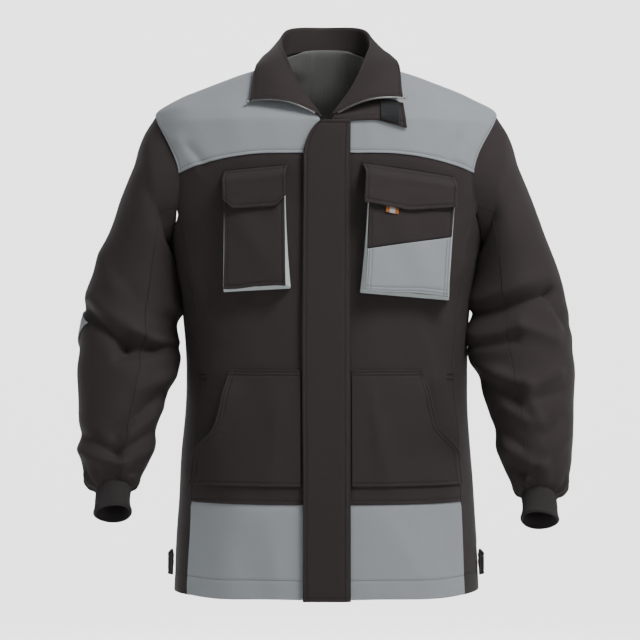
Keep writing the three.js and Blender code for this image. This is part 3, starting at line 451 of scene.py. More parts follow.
def cloth_sheet(
    name,
    place,
    size,
    outward,
    material,
    slot,
    nodes,
    hold,
    edges=("free", "free", "free", "free"),
    thickness=CLOTH,
    step=5.0,
    thread=None,
    held="hung",
    taper=0.62,
):
    """A closed sheet of cloth: place(u, v) is its middle surface, and both faces stand half
    a thickness off it.
    The faces meet in a rounded edge. Near each edge the middle dips or rises, and a groove of bell-shaped
    section follows each stitch line. Edges are left, right, bottom, top."""
    kinds = [EDGES[e] for e in edges]
    u = shares(size[0], step, kinds[0][0], kinds[1][0])
    v = shares(size[1], step, kinds[2][0], kinds[3][0])
    uu, vv = np.meshgrid(u, v)
    middle = place(uu, vv)
    along = np.gradient(middle, axis=1)
    up = np.gradient(middle, axis=0)
    guide = outward(middle)
    normal = np.cross(along, up)
    weak = np.linalg.norm(normal, axis=-1, keepdims=True) < 1e-6
    side = np.sign(np.sum(normal * guide, axis=-1).mean()) or 1.0
    normal = unit(np.where(weak, guide, normal * side))

    away = [
        uu * size[0],
        (1 - uu) * size[0],
        vv * size[1],
        (1 - vv) * size[1],
    ]
    lift = np.zeros(uu.shape)
    seam = np.full(uu.shape, 50.0)
    for d, (lines, rise, reach) in zip(away, kinds):
        lift += rise * (1 - smooth(d / reach))
        for c in lines:
            lift -= 0.6 * np.exp(-(((d - c) / 0.95) ** 2))
            seam = np.minimum(seam, np.abs(d - c))
    edge = np.minimum.reduce(away)
    full = np.clip(edge / (taper * thickness), 0, 1)
    half = thickness / 2 * np.sqrt(1 - (1 - full) ** 2)
    outer = middle + normal * (lift + half)[..., None]
    inner = middle + normal * (np.minimum(lift, 0) - half)[..., None]

    rows, cols = uu.shape
    front = np.arange(rows * cols).reshape(rows, cols)
    back = front.copy()
    back[1:-1, 1:-1] = rows * cols + np.arange((rows - 2) * (cols - 2)).reshape(
        rows - 2, cols - 2
    )
    faces = []
    for index, flip in ((front, side < 0), (back, side > 0)):
        quad = [index[:-1, :-1], index[:-1, 1:], index[1:, 1:], index[1:, :-1]]
        quad = np.stack([q.ravel() for q in quad], -1)
        faces.append(quad[:, ::-1] if flip else quad)
    run_u = np.concatenate(
        [np.zeros((rows, 1)), np.linalg.norm(np.diff(middle, axis=1), axis=-1).cumsum(1)], 1
    )
    run_v = np.concatenate(
        [np.zeros((1, cols)), np.linalg.norm(np.diff(middle, axis=0), axis=-1).cumsum(0)], 0
    )
    flat_uv = np.stack([run_u - run_u[:, -1:] / 2, run_v], -1) / 1000

    def both(a):
        return np.concatenate(
            [a.reshape(rows * cols, -1), a[1:-1, 1:-1].reshape((rows - 2) * (cols - 2), -1)]
        )

    points = np.concatenate([outer.reshape(-1, 3), inner[1:-1, 1:-1].reshape(-1, 3)])
    marks = {"seam": both(seam)[:, 0] / 1000, "edge": both(edge)[:, 0] / 1000}
    obj = make_object(name, points, np.concatenate(faces), both(flat_uv), marks)
    finish(obj, material, nodes, hold)

    if thread:
        top = outer + normal * 0.12
        for which, (lines, _, _) in enumerate(kinds):
            for c in lines:
                if which < 2:
                    wanted = c if which == 0 else size[0] - c
                    k = int(np.abs(u * size[0] - wanted).argmin())
                    line, face = top[:, k], normal[:, k]
                else:
                    wanted = c if which == 2 else size[1] - c
                    k = int(np.abs(v * size[1] - wanted).argmin())
                    line, face = top[k], normal[k]
                add_thread(line, face, hold, thread)
    return obj


def from_axis(middle):
    """Away from the jacket's upright middle line."""
    out = middle.copy()
    out[..., 2] = 0
    return unit(out)


def body_sheet(name, where, size, material, slot, nodes, lift=0.0, thickness=CLOTH, **more):
    """A cloth sheet on the body: where(u, v) gives turn, height and extra lift of its outer face."""

    def place(u, v):
        turn, z, rise = where(u, v)
        return body_point(turn, z, lift + rise - thickness / 2)

    return cloth_sheet(
        name,
        place,
        size,
        from_axis,
        material,
        slot,
        nodes,
        "jacket_body",
        thickness=thickness,
        **more,
    )


# ---- Materials ------------------------------------------------------------------------------


def new_group(name, inputs, outputs):
    """An empty shader node group with named float, vector and colour sockets."""
    group = bpy.data.node_groups.new(name, "ShaderNodeTree")
    for label, kind, value in inputs:
        socket = group.interface.new_socket(label, in_out="INPUT", socket_type=kind)
        if value is not None:
            socket.default_value = value
    for label, kind in outputs:
        group.interface.new_socket(label, in_out="OUTPUT", socket_type=kind)
    start = group.nodes.new("NodeGroupInput")
    end = group.nodes.new("NodeGroupOutput")
    return group, start, end


def math_node(tree, operation, a, b=None, c=None):
    """A math node with numbers or sockets as its inputs; returns its output."""
    node = tree.nodes.new("ShaderNodeMath")
    node.operation = operation
    for socket, value in zip(node.inputs, (a, b, c)):
        if value is None:
            continue
        if isinstance(value, (int, float)):
            socket.default_value = value
        else:
            tree.links.new(value, socket)
    return node.outputs[0]


def noise_node(tree, vector, scale, detail=2.0, roughness=0.5):
    """A noise texture's value on a vector."""
    node = tree.nodes.new("ShaderNodeTexNoise")
    node.inputs["Scale"].default_value = scale
    node.inputs["Detail"].default_value = detail
    node.inputs["Roughness"].default_value = roughness
    tree.links.new(vector, node.inputs["Vector"])
    return node.outputs["Fac"]


def scaled(tree, vector, x, y, z=1.0):
    """A vector with each part multiplied."""
    node = tree.nodes.new("ShaderNodeVectorMath")
    node.operation = "MULTIPLY"
    node.inputs[1].default_value = (x, y, z)
    tree.links.new(vector, node.inputs[0])
    return node.outputs[0]


def remap(tree, value, low, high, to_low, to_high):
    """A value carried smoothly from one range to another."""
    node = tree.nodes.new("ShaderNodeMapRange")
    node.interpolation_type = "SMOOTHSTEP"
    tree.links.new(value, node.inputs["Value"])
    for key, number in zip(
        ("From Min", "From Max", "To Min", "To Max"), (low, high, to_low, to_high)
    ):
        node.inputs[key].default_value = number
    return node.outputs["Result"]


def weave_group():
    """Drill weave on cloth coordinates in metres: diagonal ribs of crossed threads, slubs along the
    cloth and slow patches. Height is for bump, tone for colour."""
    group, start, end = new_group(
        "drill_weave",
        [
            ("Vector", "NodeSocketVector", None),
            ("Rib", "NodeSocketFloat", 3100.0),
            ("Slub", "NodeSocketFloat", 0.5),
        ],
        [("Height", "NodeSocketFloat"), ("Tone", "NodeSocketFloat")],
    )
    vector = start.outputs["Vector"]
    split = group.nodes.new("ShaderNodeSeparateXYZ")
    group.links.new(vector, split.inputs[0])
    across, up = split.outputs[0], split.outputs[1]
    slant = math_node(group, "ADD", math_node(group, "MULTIPLY", up, 0.62), across)
    ribs = math_node(
        group, "SINE", math_node(group, "MULTIPLY", slant, start.outputs["Rib"])
    )
    threads = math_node(group, "SINE", math_node(group, "MULTIPLY", across, 5200.0))
    slub = noise_node(group, scaled(group, vector, 330, 14), 1.0, 3.0)
    cross_slub = noise_node(group, scaled(group, vector, 20, 420), 1.0, 2.0)
    patches = noise_node(group, vector, 16.0, 3.0)
    fine = noise_node(group, vector, 900.0, 1.0)
    height = math_node(group, "MULTIPLY_ADD", ribs, 0.30, 0.5)
    height = math_node(group, "MULTIPLY_ADD", threads, 0.10, height)
    height = math_node(group, "MULTIPLY_ADD", slub, 0.45, height)
    height = math_node(group, "MULTIPLY_ADD", fine, 0.30, height)
    streak = math_node(
        group, "MULTIPLY", math_node(group, "SUBTRACT", slub, 0.5), start.outputs["Slub"]
    )
    weft = math_node(group, "MULTIPLY", math_node(group, "SUBTRACT", cross_slub, 0.5), 0.25)
    tone = math_node(group, "ADD", math_node(group, "MULTIPLY", patches, 0.5), 0.25)
    tone = math_node(group, "ADD", tone, math_node(group, "ADD", streak, weft))
    tone = math_node(group, "MULTIPLY_ADD", ribs, 0.05, tone)
    group.links.new(height, end.inputs["Height"])
    group.links.new(tone, end.inputs["Tone"])
    return group


def seam_group():
    """Marks by a stitch line, from the distance to it and to the cloth's edge in metres: the groove mask,
    which sinks the bump and darkens the colour there as painted shade, the puckers beside it, and paler rubbed
    cloth on the edge."""
    group, start, end = new_group(
        "seam_marks",
        [
            ("Vector", "NodeSocketVector", None),
            ("Seam", "NodeSocketFloat", 0.05),
            ("Edge", "NodeSocketFloat", 0.05),
        ],
        [
            ("Groove", "NodeSocketFloat"),
            ("Pucker", "NodeSocketFloat"),
            ("Wear", "NodeSocketFloat"),
        ],
    )
    seam, edge = start.outputs["Seam"], start.outputs["Edge"]
    groove = remap(group, seam, 0.0002, 0.0013, 0.0, 1.0)
    beside = remap(group, seam, 0.001, 0.011, 1.0, 0.0)
    ripple = noise_node(group, start.outputs["Vector"], 125.0, 1.5)
    pucker = math_node(group, "MULTIPLY", ripple, beside)
    rub = remap(group, edge, 0.0, 0.0022, 1.0, 0.0)
    patchy = noise_node(group, start.outputs["Vector"], 60.0, 3.0)
    wear = math_node(group, "MULTIPLY", rub, remap(group, patchy, 0.35, 0.7, 0.25, 1.0))
    group.links.new(groove, end.inputs["Groove"])
    group.links.new(pucker, end.inputs["Pucker"])
    group.links.new(wear, end.inputs["Wear"])
    return group


def metal_group():
    """Worn plated metal on object coordinates: fine scratches and dull patches."""
    group, start, end = new_group(
        "plated_wear",
        [("Vector", "NodeSocketVector", None)],
        [
            ("Tone", "NodeSocketFloat"),
            ("Roughness", "NodeSocketFloat"),
            ("Height", "NodeSocketFloat"),
        ],
    )
    vector = start.outputs["Vector"]
    scratch = noise_node(group, scaled(group, vector, 900, 900, 160), 1.0, 3.0)
    dull = noise_node(group, vector, 130.0, 3.0)
    group.links.new(math_node(group, "MULTIPLY_ADD", dull, 0.5, 0.25), end.inputs["Tone"])
    rough = math_node(group, "MULTIPLY_ADD", dull, 0.26, 0.2)
    group.links.new(rough, end.inputs["Roughness"])
    group.links.new(scratch, end.inputs["Height"])
    return group


def shared_group(name, build):
    """A node group, built the first time it is asked for."""
    return bpy.data.node_groups.get(name) or build()


def blank_material(name, roughness=0.85, sheen=0.0):
    """A Principled material with constant values set on the shader itself."""
    material = bpy.data.materials.new(name)
    material.use_nodes = True
    shader = material.node_tree.nodes["Principled BSDF"]
    shader.inputs["Roughness"].default_value = roughness
    shader.inputs["Specular IOR Level"].default_value = 0.07
    if sheen:
        shader.inputs["Sheen Weight"].default_value = sheen
        shader.inputs["Sheen Roughness"].default_value = 0.45
    return material, material.node_tree, shader


def colour_mix(tree, factor, dark, light):
    """A colour between two, by a factor."""
    node = tree.nodes.new("ShaderNodeMix")
    node.data_type = "RGBA"
    tree.links.new(factor, node.inputs["Factor"])
    for socket, value in ((node.inputs[6], dark), (node.inputs[7], light)):
        if isinstance(value, (tuple, list)):
            socket.default_value = (*value, 1)
        else:
            tree.links.new(value, socket)
    return node.outputs[2]


def shade(colour, share):
    """A colour made darker or paler by a share."""
    return tuple(min(1.0, c * share) for c in colour)


def cloth_material(name, colour, rib=3100.0, slub=0.5, sheen=0.01, bump=0.5, contrast=0.22):
    """Woven cloth with seam marks: colour follows the weave's tone, is darkened in each stitch groove as
    painted shade, and edges are rubbed paler.
    """
    found = bpy.data.materials.get(name)
    if found:
        return found
    material, tree, shader = blank_material(name, 0.88, sheen)
    uv = tree.nodes.new("ShaderNodeUVMap")
    uv.uv_map = "cloth"
    weave = tree.nodes.new("ShaderNodeGroup")
    weave.node_tree = shared_group("drill_weave", weave_group)
    weave.inputs["Rib"].default_value = rib
    weave.inputs["Slub"].default_value = slub
    marks = tree.nodes.new("ShaderNodeGroup")
    marks.node_tree = shared_group("seam_marks", seam_group)
    tree.links.new(uv.outputs[0], weave.inputs["Vector"])
    tree.links.new(uv.outputs[0], marks.inputs["Vector"])
    for key in ("seam", "edge"):
        node = tree.nodes.new("ShaderNodeAttribute")
        node.attribute_name = key
        tree.links.new(node.outputs["Fac"], marks.inputs[key.capitalize()])
    plain = colour_mix(
        tree, weave.outputs["Tone"], shade(colour, 1 - contrast), shade(colour, 1 + contrast)
    )
    # Painted shade: the colour drops to 0.48 of itself in each stitch groove, where shade would fall.
    sunk = colour_mix(tree, marks.outputs["Groove"], shade(colour, 0.48), plain)
    worn = tree.nodes.new("ShaderNodeMix")
    worn.data_type = "RGBA"
    rubbed = math_node(tree, "MULTIPLY", marks.outputs["Wear"], 0.3)
    tree.links.new(rubbed, worn.inputs["Factor"])
    tree.links.new(sunk, worn.inputs[6])
    worn.inputs[7].default_value = (*[min(1.0, c * 1.7 + 0.015) for c in colour], 1)
    tree.links.new(worn.outputs[2], shader.inputs["Base Color"])
    tree.links.new(
        remap(tree, weave.outputs["Tone"], 0.2, 0.8, 0.93, 0.8), shader.inputs["Roughness"]
    )
    height = math_node(tree, "MULTIPLY", weave.outputs["Height"], 0.22)
    height = math_node(tree, "MULTIPLY_ADD", marks.outputs["Groove"], 0.55, height)
    height = math_node(tree, "MULTIPLY_ADD", marks.outputs["Pucker"], 1.1, height)
    node = tree.nodes.new("ShaderNodeBump")
    node.inputs["Strength"].default_value = bump
    node.inputs["Distance"].default_value = 0.0011
    tree.links.new(height, node.inputs["Height"])
    tree.links.new(node.outputs[0], shader.inputs["Normal"])
    return material


def object_vector(tree):
    """The object coordinates' socket."""
    return tree.nodes.new("ShaderNodeTexCoord").outputs["Object"]


def simple_material(name, colour, roughness, height_scale, bump_distance, contrast=0.2, sheen=0.0):
    """A finish on object coordinates: noise tones the colour and roughens the surface."""
    found = bpy.data.materials.get(name)
    if found:
        return found
    material, tree, shader = blank_material(name, roughness, sheen)
    vector = object_vector(tree)
    tone = noise_node(tree, vector, height_scale * 0.4, 3.0)
    grain = noise_node(tree, vector, height_scale, 2.0)
    tree.links.new(
        colour_mix(tree, tone, shade(colour, 1 - contrast), shade(colour, 1 + contrast)),
        shader.inputs["Base Color"],
    )
    tree.links.new(
        remap(tree, tone, 0.3, 0.7, roughness - 0.06, roughness + 0.06),
        shader.inputs["Roughness"],
    )
    node = tree.nodes.new("ShaderNodeBump")
    node.inputs["Strength"].default_value = 0.6
    node.inputs["Distance"].default_value = bump_distance
    tree.links.new(grain, node.inputs["Height"])
    tree.links.new(node.outputs[0], shader.inputs["Normal"])
    return material


def metal_material():
    """Nickel-plated zip metal."""
    found = bpy.data.materials.get("zip_metal")
    if found:
        return found
    material, tree, shader = blank_material("zip_metal", 0.35)
    shader.inputs["Metallic"].default_value = 1.0
    colour = tuple(bpy.context.scene.jacket_colours.metal)
    wear = tree.nodes.new("ShaderNodeGroup")
    wear.node_tree = shared_group("plated_wear", metal_group)
    tree.links.new(object_vector(tree), wear.inputs["Vector"])
    tree.links.new(
        colour_mix(tree, wear.outputs["Tone"], shade(colour, 0.7), shade(colour, 1.15)),
        shader.inputs["Base Color"],
    )
    tree.links.new(wear.outputs["Roughness"], shader.inputs["Roughness"])
    node = tree.nodes.new("ShaderNodeBump")
    node.inputs["Strength"].default_value = 0.25
    node.inputs["Distance"].default_value = 0.0002
    tree.links.new(wear.outputs["Height"], node.inputs["Height"])
    tree.links.new(node.outputs[0], shader.inputs["Normal"])
    return material


def dark_cloth():
    return cloth_material("dark_drill", tuple(bpy.context.scene.jacket_colours.dark))


def grey_cloth():
    colour = tuple(bpy.context.scene.jacket_colours.grey)
    return cloth_material("grey_drill", colour, slub=1.1, contrast=0.16, sheen=0.02)


def hook_tape():
    """Hook-and-loop tape: a fine even pile of hooks, from two crossed waves."""
    found = bpy.data.materials.get("hook_tape")
    if found:
        return found
    material, tree, shader = blank_material("hook_tape", 0.8, 0.2)
    colour = tuple(bpy.context.scene.jacket_colours.hook)
    vector = object_vector(tree)
    split = tree.nodes.new("ShaderNodeSeparateXYZ")
    tree.links.new(vector, split.inputs[0])
    rows = math_node(tree, "SINE", math_node(tree, "MULTIPLY", split.outputs[0], 3900.0))
    ranks = math_node(tree, "SINE", math_node(tree, "MULTIPLY", split.outputs[2], 3900.0))
    pile = math_node(tree, "MULTIPLY", rows, ranks)
    fuzz = noise_node(tree, vector, 1400.0, 2.0)
    height = math_node(tree, "ADD", pile, fuzz)
    tone = remap(tree, height, -0.4, 1.4, 0.0, 1.0)
    tree.links.new(
        colour_mix(tree, tone, shade(colour, 0.5), shade(colour, 1.7)),
        shader.inputs["Base Color"],
    )
    node = tree.nodes.new("ShaderNodeBump")
    node.inputs["Strength"].default_value = 0.9
    node.inputs["Distance"].default_value = 0.0005
    tree.links.new(height, node.inputs["Height"])
    tree.links.new(node.outputs[0], shader.inputs["Normal"])
    return material


# ---- Frames on the jacket -------------------------------------------------------------------


def closure_frame():
    """The leaning frame of the straight front: x across, y inwards, z up along the zip."""
    lean = np.arctan(FRONT_LEAN)
    up = np.array([0, np.sin(lean), np.cos(lean)])
    inward = np.array([0, np.cos(lean), -np.sin(lean)])
    return np.array([0, -HEM_FRONT_DEPTH, 0.0]), np.array([1.0, 0, 0]), inward, up


POCKETS = {
    "right": {
        "x": -95.0,
        "top": 563.0,
        "width": 92.0,
        "length": 140.0,
        "roll": -0.05,
        "point": 0.0,
        "chamfer": 14.0,
        # Edges of the front: inner and outer x at the top, then at the foot. The flap's x and drops.
        "front": (-40.0, 44.5, -45.0, 41.0),
        "flap": (-41.0, 46.5),
        "drops": (58.0, 57.0),
        "rises": (0.0, 3.0),
        "flares": (0.8, 4.5, 6.5),
    },
    "left": {
        "x": 114.0,
        "top": 558.0,
        "width": 126.0,
        "length": 144.0,
        "roll": 0.08,
        "point": 8.0,
        "chamfer": 0.0,
        "front": (-66.0, 56.0, -63.0, 54.5),
        "flap": (-73.0, 57.0),
        "drops": (51.0, 46.0),
        "rises": (8.0, 0.0),
        "flares": (6.0, 4.5, 1.0),
    },
}
POCKET_TOP_DEPTH = 13.0
POCKET_BOTTOM_DEPTH = 19.0
FLAP_RISE = 25.0
POCKET_LAYER = 5.4
THIN = 2.0


def pocket_frame(pocket):
    """The tipped flat frame of a chest pocket: origin at the middle of its top edge, then x, y inward, z."""
    z = pocket["top"] - pocket["length"] / 2
    turn = turn_at_x(np.array(pocket["x"]), np.array(z))
    inward = -body_normal(turn, np.array(z))
    across = -unit(np.cross([0, 0, 1.0], inward))
    up = np.cross(across, inward)
    origin = body_surface(turn, np.array(z)) - inward * (
        (POCKET_TOP_DEPTH + POCKET_BOTTOM_DEPTH) / 2
    )
    c, s = np.cos(pocket["roll"]), np.sin(pocket["roll"])
    across, up = across * c - up * s, across * s + up * c
    tip = -np.arctan((POCKET_BOTTOM_DEPTH - POCKET_TOP_DEPTH) / pocket["length"])
    c, s = np.cos(tip), np.sin(tip)
    inward, up = inward * c + up * s, up * c - inward * s
    return origin + up * pocket["length"] / 2, across, inward, up


def in_frame(base, x, y, z):
    """A point given by its place in a frame."""
    origin, ax, ay, az = base
    x, y, z = np.broadcast_arrays(x, y, z)
    return origin + x[..., None] * ax + y[..., None] * ay + z[..., None] * az


def body_behind(base, x, z, lift):
    """The body's point behind a point on the frame's face, with the folds."""
    front = in_frame(base, x, 0.0, z)
    return body_point(turn_at_x(front[..., 0], front[..., 2]), front[..., 2], lift)


def frame_outward(base):
    return lambda middle: np.broadcast_to(-base[2], middle.shape)


def metres(point):
    """A point in millimetres above the hem, as the frame's metres."""
    return tuple((np.asarray(point, float) - [0, 0, BODY_LENGTH]) / 1000)


# ---- Sleeves --------------------------------------------------------------------------------
# Each ring: outer x and z, inner x and z, how far ahead, half depth and lean.
RINGS = np.array(
    [
        [241, 669, 222, 478, 0, 78, 0],
        [257, 641, 222, 464, 0, 80, 0],
        [273, 598, 222, 446, 0, 80, 0],
        [291, 546, 219, 428, 0, 78, 0.02],
        [311, 493, 215, 408, 3, 75, 0.06],
        [330, 439, 212, 384, 8, 72, 0.12],
        [343, 392, 209, 360, 15, 69, 0.2],
        [346, 345, 208, 335, 26, 67, 0.28],
        [348, 300, 213, 306, 40, 64, 0.36],
        [346, 258, 224, 270, 57, 60, 0.42],
        [342, 222, 234, 232, 72, 54, 0.46],
        [338, 190, 242, 196, 86, 48, 0.5],
        [330, 163, 256, 166, 97, 37, 0.53],
        [318, 146, 265, 150, 103, 28, 0.55],
    ]
)
sleeve_spine = spline(RINGS, 0.4)
SLEEVE_SEAM = 1.95
SLEEVE_DROP = {"right": 0.0, "left": 9.0}
# How far round from the outer line the elbow patch's point comes: forwards is negative.
FRONT_REACH = {"right": -0.62, "left": 0.25}
WRIST_LEAN = 0.55

# Folds of each sleeve seen from the front, with x as on the wearer's left.
SLEEVE_FOLDS = {
    "left": [
        [316, 420, 196, 379, 10, -9.0],
        [306, 440, 206, 402, 17, 5.0],
        [311, 417, 336, 372, 9, -5.0],
        [222, 357, 269, 370, 10, 4.5],
        [269, 370, 316, 353, 10, 4.5],
        [214, 342, 262, 352, 7, -4.0],
        [192, 327, 238, 304, 10, 6.0],
        [238, 304, 277, 291, 9, 5.5],
        [277, 291, 318, 307, 10, 5.0],
        [212, 300, 262, 272, 9, -4.5],
        [285, 275, 322, 284, 9, -3.5],
        [248, 262, 277, 243, 8, 4.0],
        [277, 285, 291, 244, 8, 4.0],
        [232, 236, 266, 214, 8, -3.5],
        [207, 280, 254, 205, 11, 4.0],
        [254, 205, 292, 184, 10, 5.0],
        [292, 184, 326, 222, 10, 4.5],
        [262, 184, 300, 162, 7, -4.0],
        [300, 232, 326, 250, 9, -3.0],
        [262, 600, 232, 520, 14, -3.0],
        [300, 520, 262, 440, 24, 2.5],
    ],
    "right": [
        [334, 392, 276, 343, 11, -9.0],
        [276, 343, 212, 341, 9, -8.0],
        [330, 408, 262, 362, 16, 5.5],
        [268, 364, 232, 348, 7, 5.5],
        [232, 348, 204, 346, 7, 5.0],
        [284, 328, 234, 338, 8, -5.0],
        [213, 336, 204, 320, 14, 6.0],
        [204, 320, 222, 294, 12, 5.0],
        [282, 312, 262, 302, 24, 5.0],
        [222, 280, 286, 226, 10, -6.0],
        [226, 256, 274, 220, 9, 4.5],
        [218, 300, 258, 282, 9, 3.5],
        [340, 202, 288, 178, 9, 6.0],
        [288, 178, 246, 198, 9, 5.0],
        [338, 222, 284, 200, 9, -4.5],
        [284, 200, 244, 222, 8, -3.5],
        [304, 160, 262, 170, 6, -3.5],
        [318, 470, 290, 420, 18, 3.5],
        [262, 600, 232, 520, 14, -3.0],
        [296, 452, 262, 410, 16, -2.5],
    ],
}
SLEEVE_BACK_FOLDS = [
    [330, 400, 226, 372, 12, -6.0],
    [322, 424, 232, 398, 18, 5.0],
    [338, 356, 240, 344, 11, 5.0],
    [336, 330, 232, 318, 10, -4.5],
    [320, 300, 236, 280, 12, 4.5],
    [330, 262, 250, 236, 11, -4.0],
    [316, 236, 246, 210, 11, 5.0],
    [326, 196, 262, 178, 8, 4.5],
    [300, 560, 250, 470, 20, 3.5],
    [272, 600, 240, 520, 14, -3.0],
]


def sleeve_hold(side):
    """The upper arm's hold: the body and the sleeve, with two points along the arm in metres; attach only
    bakes such a hold's transform.
    """
    s = SIDES[side]
    along = np.array([0.94 * s, 0, -0.342])
    return (
        "jacket_body",
        f"sleeve_{side}",
        tuple(along * 0.30),
        tuple(along * 0.40),
    )


def sleeve_frame(t):
    """Centre, half width vector, half depth and backward vector of the sleeve's ring at t."""
    ring = sleeve_spine(t)
    out = np.stack([ring[..., 0], -ring[..., 4], ring[..., 1]], -1)
    inn = np.stack([ring[..., 2], -ring[..., 4], ring[..., 3]], -1)
    lean = ring[..., 6]
    back = np.stack([np.zeros_like(lean), np.cos(lean), -np.sin(lean)], -1)
    return (out + inn) / 2, (out - inn) / 2, ring[..., 5], back


def sleeve_point(side, t, around, offset, folded=True):
    """An ellipse about the arm's line: the half width times cos(around) plus the half depth times
    sin(around) backwards, offset outwards, with the folds, then laid on the armhole's edge at t = 0."""
    centre, across, depth, back = sleeve_frame(t)
    half = np.linalg.norm(across, axis=-1)

    def at(rise):
        return (
            centre
            + across * (np.cos(around) * (1 + rise / half))[..., None]
            + back * (np.sin(around) * (depth + rise))[..., None]
        )

    plain = at(0 * t)
    rise = offset + 0 * t
    if folded:
        facing = smooth(0.5 - 0.62 * np.sin(around))
        x, z = plain[..., 0], plain[..., 2]
        seen = creases(x, z, SLEEVE_FOLDS[side])
        behind = creases(x, z, SLEEVE_BACK_FOLDS)
        waves = 0.7 * np.sin(0.045 * z + 2.2 * around) + 0.5 * np.sin(
            0.08 * z - 3 * around + 1
        )
        gathers = (
            (1.6 + np.sin(3 * around + 1))
            * np.abs(np.sin(5.5 * around + 0.7 * np.sin(2 * around)))
            * smooth((t - 0.88) / 0.07)
            * smooth((1.004 - t) / 0.03)
            * 2.6
        )
        tuck = -3.0 * smooth((t - 0.965) / 0.035)
        off = np.mod(around - (PI + 0.45) + PI, 2 * PI) - PI
        reach = 0.37 if side == "right" else 0.55
        bunch = (
            np.interp(t, [0, 0.385], [11.5, 16.5])
            * np.exp(-((off / 0.5) ** 2))
            * smooth((t - 0.05) / 0.08)
            * smooth((reach + 0.07 - t) / 0.07)
        )
        amount = bpy.context.scene.jacket_sizes.fold_amount
        calm = smooth(t / 0.07) * smooth((0.985 - t) / 0.05)
        rise = rise + amount * calm * (1.35 * mix(behind, seen, facing) + waves) + gathers + tuck
    point = at(rise)
    if folded:
        point[..., 0] -= bunch
    centre0, across0, depth0, back0 = sleeve_frame(0 * t)
    first = (
        centre0
        + across0 * np.cos(around)[..., None]
        + back0 * (np.sin(around) * depth0)[..., None]
    )
    z0 = np.clip(first[..., 2], UNDERARM, SHOULDER_TIP)
    edge_x = np.abs(body_surface(turn_at_y(-first[..., 1], z0), z0)[..., 0]) - 1.3
    point[..., 0] += (edge_x - first[..., 0]) * (1 - smooth(t / 0.06))
    point[..., 2] -= SLEEVE_DROP[side] * smooth((t - 0.5) * 2)
    point[..., 0] *= SIDES[side]
    return point


def sleeve_outward(side):
    """Away from the arm's middle line, taken as each grid row's centre."""

    def outward(middle):
        z = middle[..., 2]
        x = np.interp(z, RINGS[::-1, 1], (RINGS[::-1, 0] + RINGS[::-1, 2]) / 2)
        y = np.interp(z, RINGS[::-1, 1], -RINGS[::-1, 4])
        away = middle - np.stack([x * SIDES[side], y, z], -1)
        return unit(away)

    return outward


# ---- Sizes, colours and operators -----------------------------------------------------------


class JacketSizes(bpy.types.PropertyGroup):
    """Sizes that a user may change without leaving the CAD frame."""

    stitch_pitch: FloatProperty(
        name="Stitch pitch",
        description="Distance from one stitch to the next",
        default=0.0034,
        min=0.002,
        max=0.006,
        unit="LENGTH",
    )
    stitch_width: FloatProperty(
        name="Thread width",
        description="Width of the sewing thread",
        default=0.0007,
        min=0.0003,
        max=0.0015,
        unit="LENGTH",
    )
    fold_amount: FloatProperty(
        name="Folds",
        description="Depth of the cloth's folds, as a share",
        default=1.0,
        min=0.0,
        max=1.5,
        subtype="FACTOR",
    )
    cuff_ribs: IntProperty(
        name="Cuff ribs",
        description="Ribs around each knitted cuff",
        default=54,
        min=30,
        max=80,
    )
    tooth_pitch: FloatProperty(
        name="Zip pitch",
        description="Distance from one zip tooth to the next on one side",
        default=0.0031,
        min=0.002,
        max=0.006,
        unit="LENGTH",
    )


def colour_property(label, about, value):
    """A linear colour property."""
    return FloatVectorProperty(
        name=label, description=about, default=value, size=3, min=0, max=1, subtype="COLOR"
    )


class JacketColours(bpy.types.PropertyGroup):
    """Colours of the jacket's cloths and fittings."""

    dark: colour_property("Dark cloth", "Drill of the body and sleeves", (0.0056, 0.0036, 0.0035))
    grey: colour_property("Grey cloth", "Drill of the yokes and hem panels", (0.272, 0.298, 0.325))
    dark_thread: colour_property("Dark thread", "Stitching on dark cloth", (0.022, 0.0175, 0.0165))
    grey_thread: colour_property("Grey thread", "Stitching on grey cloth", (0.10, 0.112, 0.125))
    lining: colour_property("Lining", "Lining inside the back neck", (0.16, 0.165, 0.156))
    rib: colour_property("Rib knit", "Knitted cuffs", (0.0165, 0.0158, 0.0143))
    gusset: colour_property("Gusset", "Pale bellows of the chest pockets", (0.56, 0.62, 0.61))
    hook: colour_property("Hook tape", "Hook-and-loop tape", (0.022, 0.023, 0.024))
    tape: colour_property("Zip tape", "Woven zip tape", (0.02, 0.018, 0.017))
    metal: colour_property("Metal", "Zip metal", (0.62, 0.6, 0.57))
    tab_edge: colour_property("Tab ends", "Ends of the woven tab", (0.62, 0.21, 0.04))
    tab_middle: colour_property("Tab middle", "Middle of the woven tab", (0.72, 0.7, 0.68))


